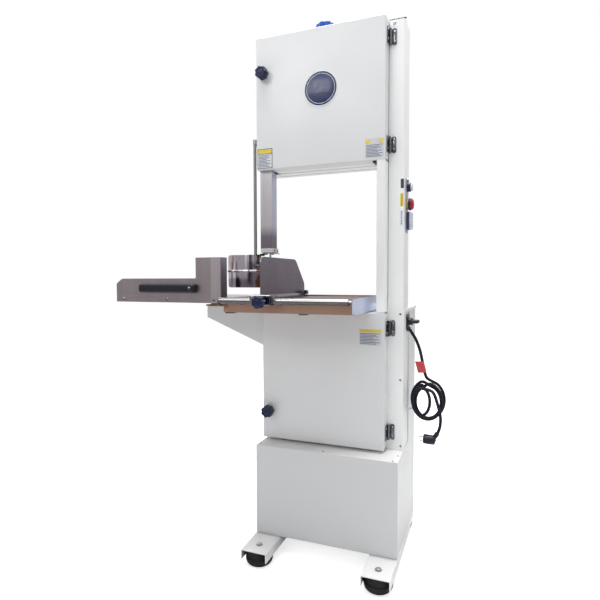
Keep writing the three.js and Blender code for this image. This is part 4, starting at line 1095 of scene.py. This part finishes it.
def make_cable_fittings():
    bm = bmesh.new()
    (x0, y0, z0), (x1, y1, z1) = LEAD[5], LEAD[6]
    corners = ((x0 - 23.2, y0 - 7, z0 - 0.7), (x0 + 5.9, y0 - 7, z0 + 1),
               (x1 + 8.9, y1 - 8, z1 - 5.2), (x1 - 19.7, y1 - 8, z1 - 7.2))
    front = [bm.verts.new(at(*c)) for c in corners]
    back = [bm.verts.new(at(cx, cy + 0.6, cz)) for cx, cy, cz in corners]
    bm.faces.new(front)
    bm.faces.new(back[::-1])
    join(bm, front, back)
    finish_piece("cable_tag", bm, "film_red")
    bm = bmesh.new()
    lo, hi = local_box("lower_housing")
    x, y, z = hi.x, middle("main_switch_body").y, lo.z + 125.7
    bend = ((-0.6, 0), (6.4, -2), (15.4, -4), (21.4, 2), (22.4, 9))
    add_tube(bm, spline([(x + out, y, z + up) for out, up in bend], 5), 2.6, 16)
    add_lathe(bm, [(0, 0), (8, 0), (8, 1.6), (7, 2.4), (0, 2.4)], (x, y, z), X_AXIS, 36)
    finish_piece("cable_hook", bm, "nylon")


# ---------- stage, light and camera ----------
WORLD_LIGHT = 0.345


def make_floor():
    bm = bmesh.new()
    bmesh.ops.create_circle(bm, cap_ends=True, segments=96, radius=14)
    mesh = bpy.data.meshes.new("studio_floor")
    bm.to_mesh(mesh)
    bm.free()
    look = Look("studio_floor", (0.9, 0.9, 0.9), 0.9)
    look.patches((1.5, 2), (0.4, 0.7, 0.0, 0.3), (0.88, 0.88, 0.885))
    look.set(Specular_IOR_Level=0.0)
    path = look.node("ShaderNodeLightPath")
    glow = look.ramp(path.outputs["Is Camera Ray"], 0, 1, 0.0, 0.7)
    look.link(glow, look.shader.inputs["Emission Strength"])
    look.set(Emission_Color=(1, 1, 1, 1))
    mesh.materials.append(look.material)
    floor = bpy.data.objects.new("studio_floor", mesh)
    bpy.context.scene.collection.objects.link(floor)


def make_world():
    """An even white surround; metal also mirrors a darker room with a warm floor."""
    world = bpy.data.worlds.new("studio")
    bpy.context.scene.world = world
    world.use_nodes = True
    tree = world.node_tree
    tree.nodes.clear()
    node, link = tree.nodes.new, tree.links.new

    def background(strength):
        made = node("ShaderNodeBackground")
        made.inputs["Color"].default_value = (1, 1, 1, 1)
        made.inputs["Strength"].default_value = strength
        return made

    def choose(flag, off, on):
        mix = node("ShaderNodeMixShader")
        link(path.outputs[flag], mix.inputs[0])
        link(off, mix.inputs[1])
        link(on, mix.inputs[2])
        return mix.outputs[0]

    path = node("ShaderNodeLightPath")
    coordinates = node("ShaderNodeTexCoord")
    split = node("ShaderNodeSeparateXYZ")
    link(coordinates.outputs["Generated"], split.inputs[0])
    height = node("ShaderNodeMapRange")
    height.inputs["From Min"].default_value = -1
    link(split.outputs["Z"], height.inputs["Value"])
    room = node("ShaderNodeValToRGB")
    link(height.outputs["Result"], room.inputs["Fac"])
    stops = room.color_ramp.elements
    stops[0].position, stops[0].color = 0.0, (0.42, 0.27, 0.2, 1)
    stops[1].position, stops[1].color = 1.0, (1.5, 1.5, 1.5, 1)
    between = ((0.46, (0.36, 0.25, 0.2, 1)), (0.53, (0.6, 0.57, 0.59, 1)), (0.7, (1.0, 1.0, 1.02, 1)))
    for position, color in between:
        stops.new(position).color = color
    mirrored = background(1.0)
    link(room.outputs["Color"], mirrored.inputs["Color"])
    lit = choose("Is Glossy Ray", background(WORLD_LIGHT).outputs[0], mirrored.outputs[0])
    seen = choose("Is Camera Ray", lit, background(1.0).outputs[0])
    output = node("ShaderNodeOutputWorld")
    link(seen, output.inputs["Surface"])


def add_area(name, place_m, target_m, size, power, spread=180):
    light = bpy.data.lights.new(name, "AREA")
    light.shape = "RECTANGLE"
    light.size, light.size_y = size
    light.energy = power
    light.spread = math.radians(spread)
    lamp = bpy.data.objects.new(name, light)
    lamp.location = place_m
    lamp.rotation_mode = "QUATERNION"
    lamp.rotation_quaternion = (Vector(target_m) - Vector(place_m)).to_track_quat("-Z", "Y")
    bpy.context.scene.collection.objects.link(lamp)


def make_lights():
    aim = (0, 0, 0.9)
    add_area("key_right", (3.4, 0.3, 2.0), aim, (1.8, 2.6), 9)
    add_area("front_fill", (-1.2, -3.4, 3.2), (0, 0, 1.7), (2.4, 1.2), 6.5, 75)
    add_area("top", (0.2, 0.1, 4.2), aim, (2.4, 2.4), 190)


def make_camera():
    camera = bpy.data.cameras.new("camera")
    camera.sensor_width = 36
    camera.lens = 29.21
    eye = bpy.data.objects.new("camera", camera)
    eye.location = at(297.4, -1523.6, 921.8)
    yaw, pitch, roll = math.radians(20.9), math.radians(-2.54), math.radians(-0.15)
    eye.rotation_mode = "XYZ"
    tilt = Matrix.Rotation(math.pi / 2 + pitch, 4, "X") @ Matrix.Rotation(roll, 4, "Z")
    eye.rotation_euler = (Matrix.Rotation(yaw, 4, "Z") @ tilt).to_euler("XYZ")
    bpy.context.scene.collection.objects.link(eye)
    bpy.context.scene.camera = eye


dress_cad()
make_feet()
make_hinges()
make_knobs()
make_badge()
make_door_labels()
make_control_labels()
make_housing_seam()
make_screws()
make_rail()
make_table_details()
make_fence_details()
make_handle()
make_guard_details()
make_blade()
make_guide_details()
make_pusher_details()
make_reset()
make_estop()
make_start_stop()
make_boot()
make_main_switch()
make_cable()
make_cable_fittings()
make_floor()
make_world()
make_lights()
make_camera()
scene = bpy.context.scene
scene.view_settings.view_transform = "Standard"
scene.view_settings.look = "None"
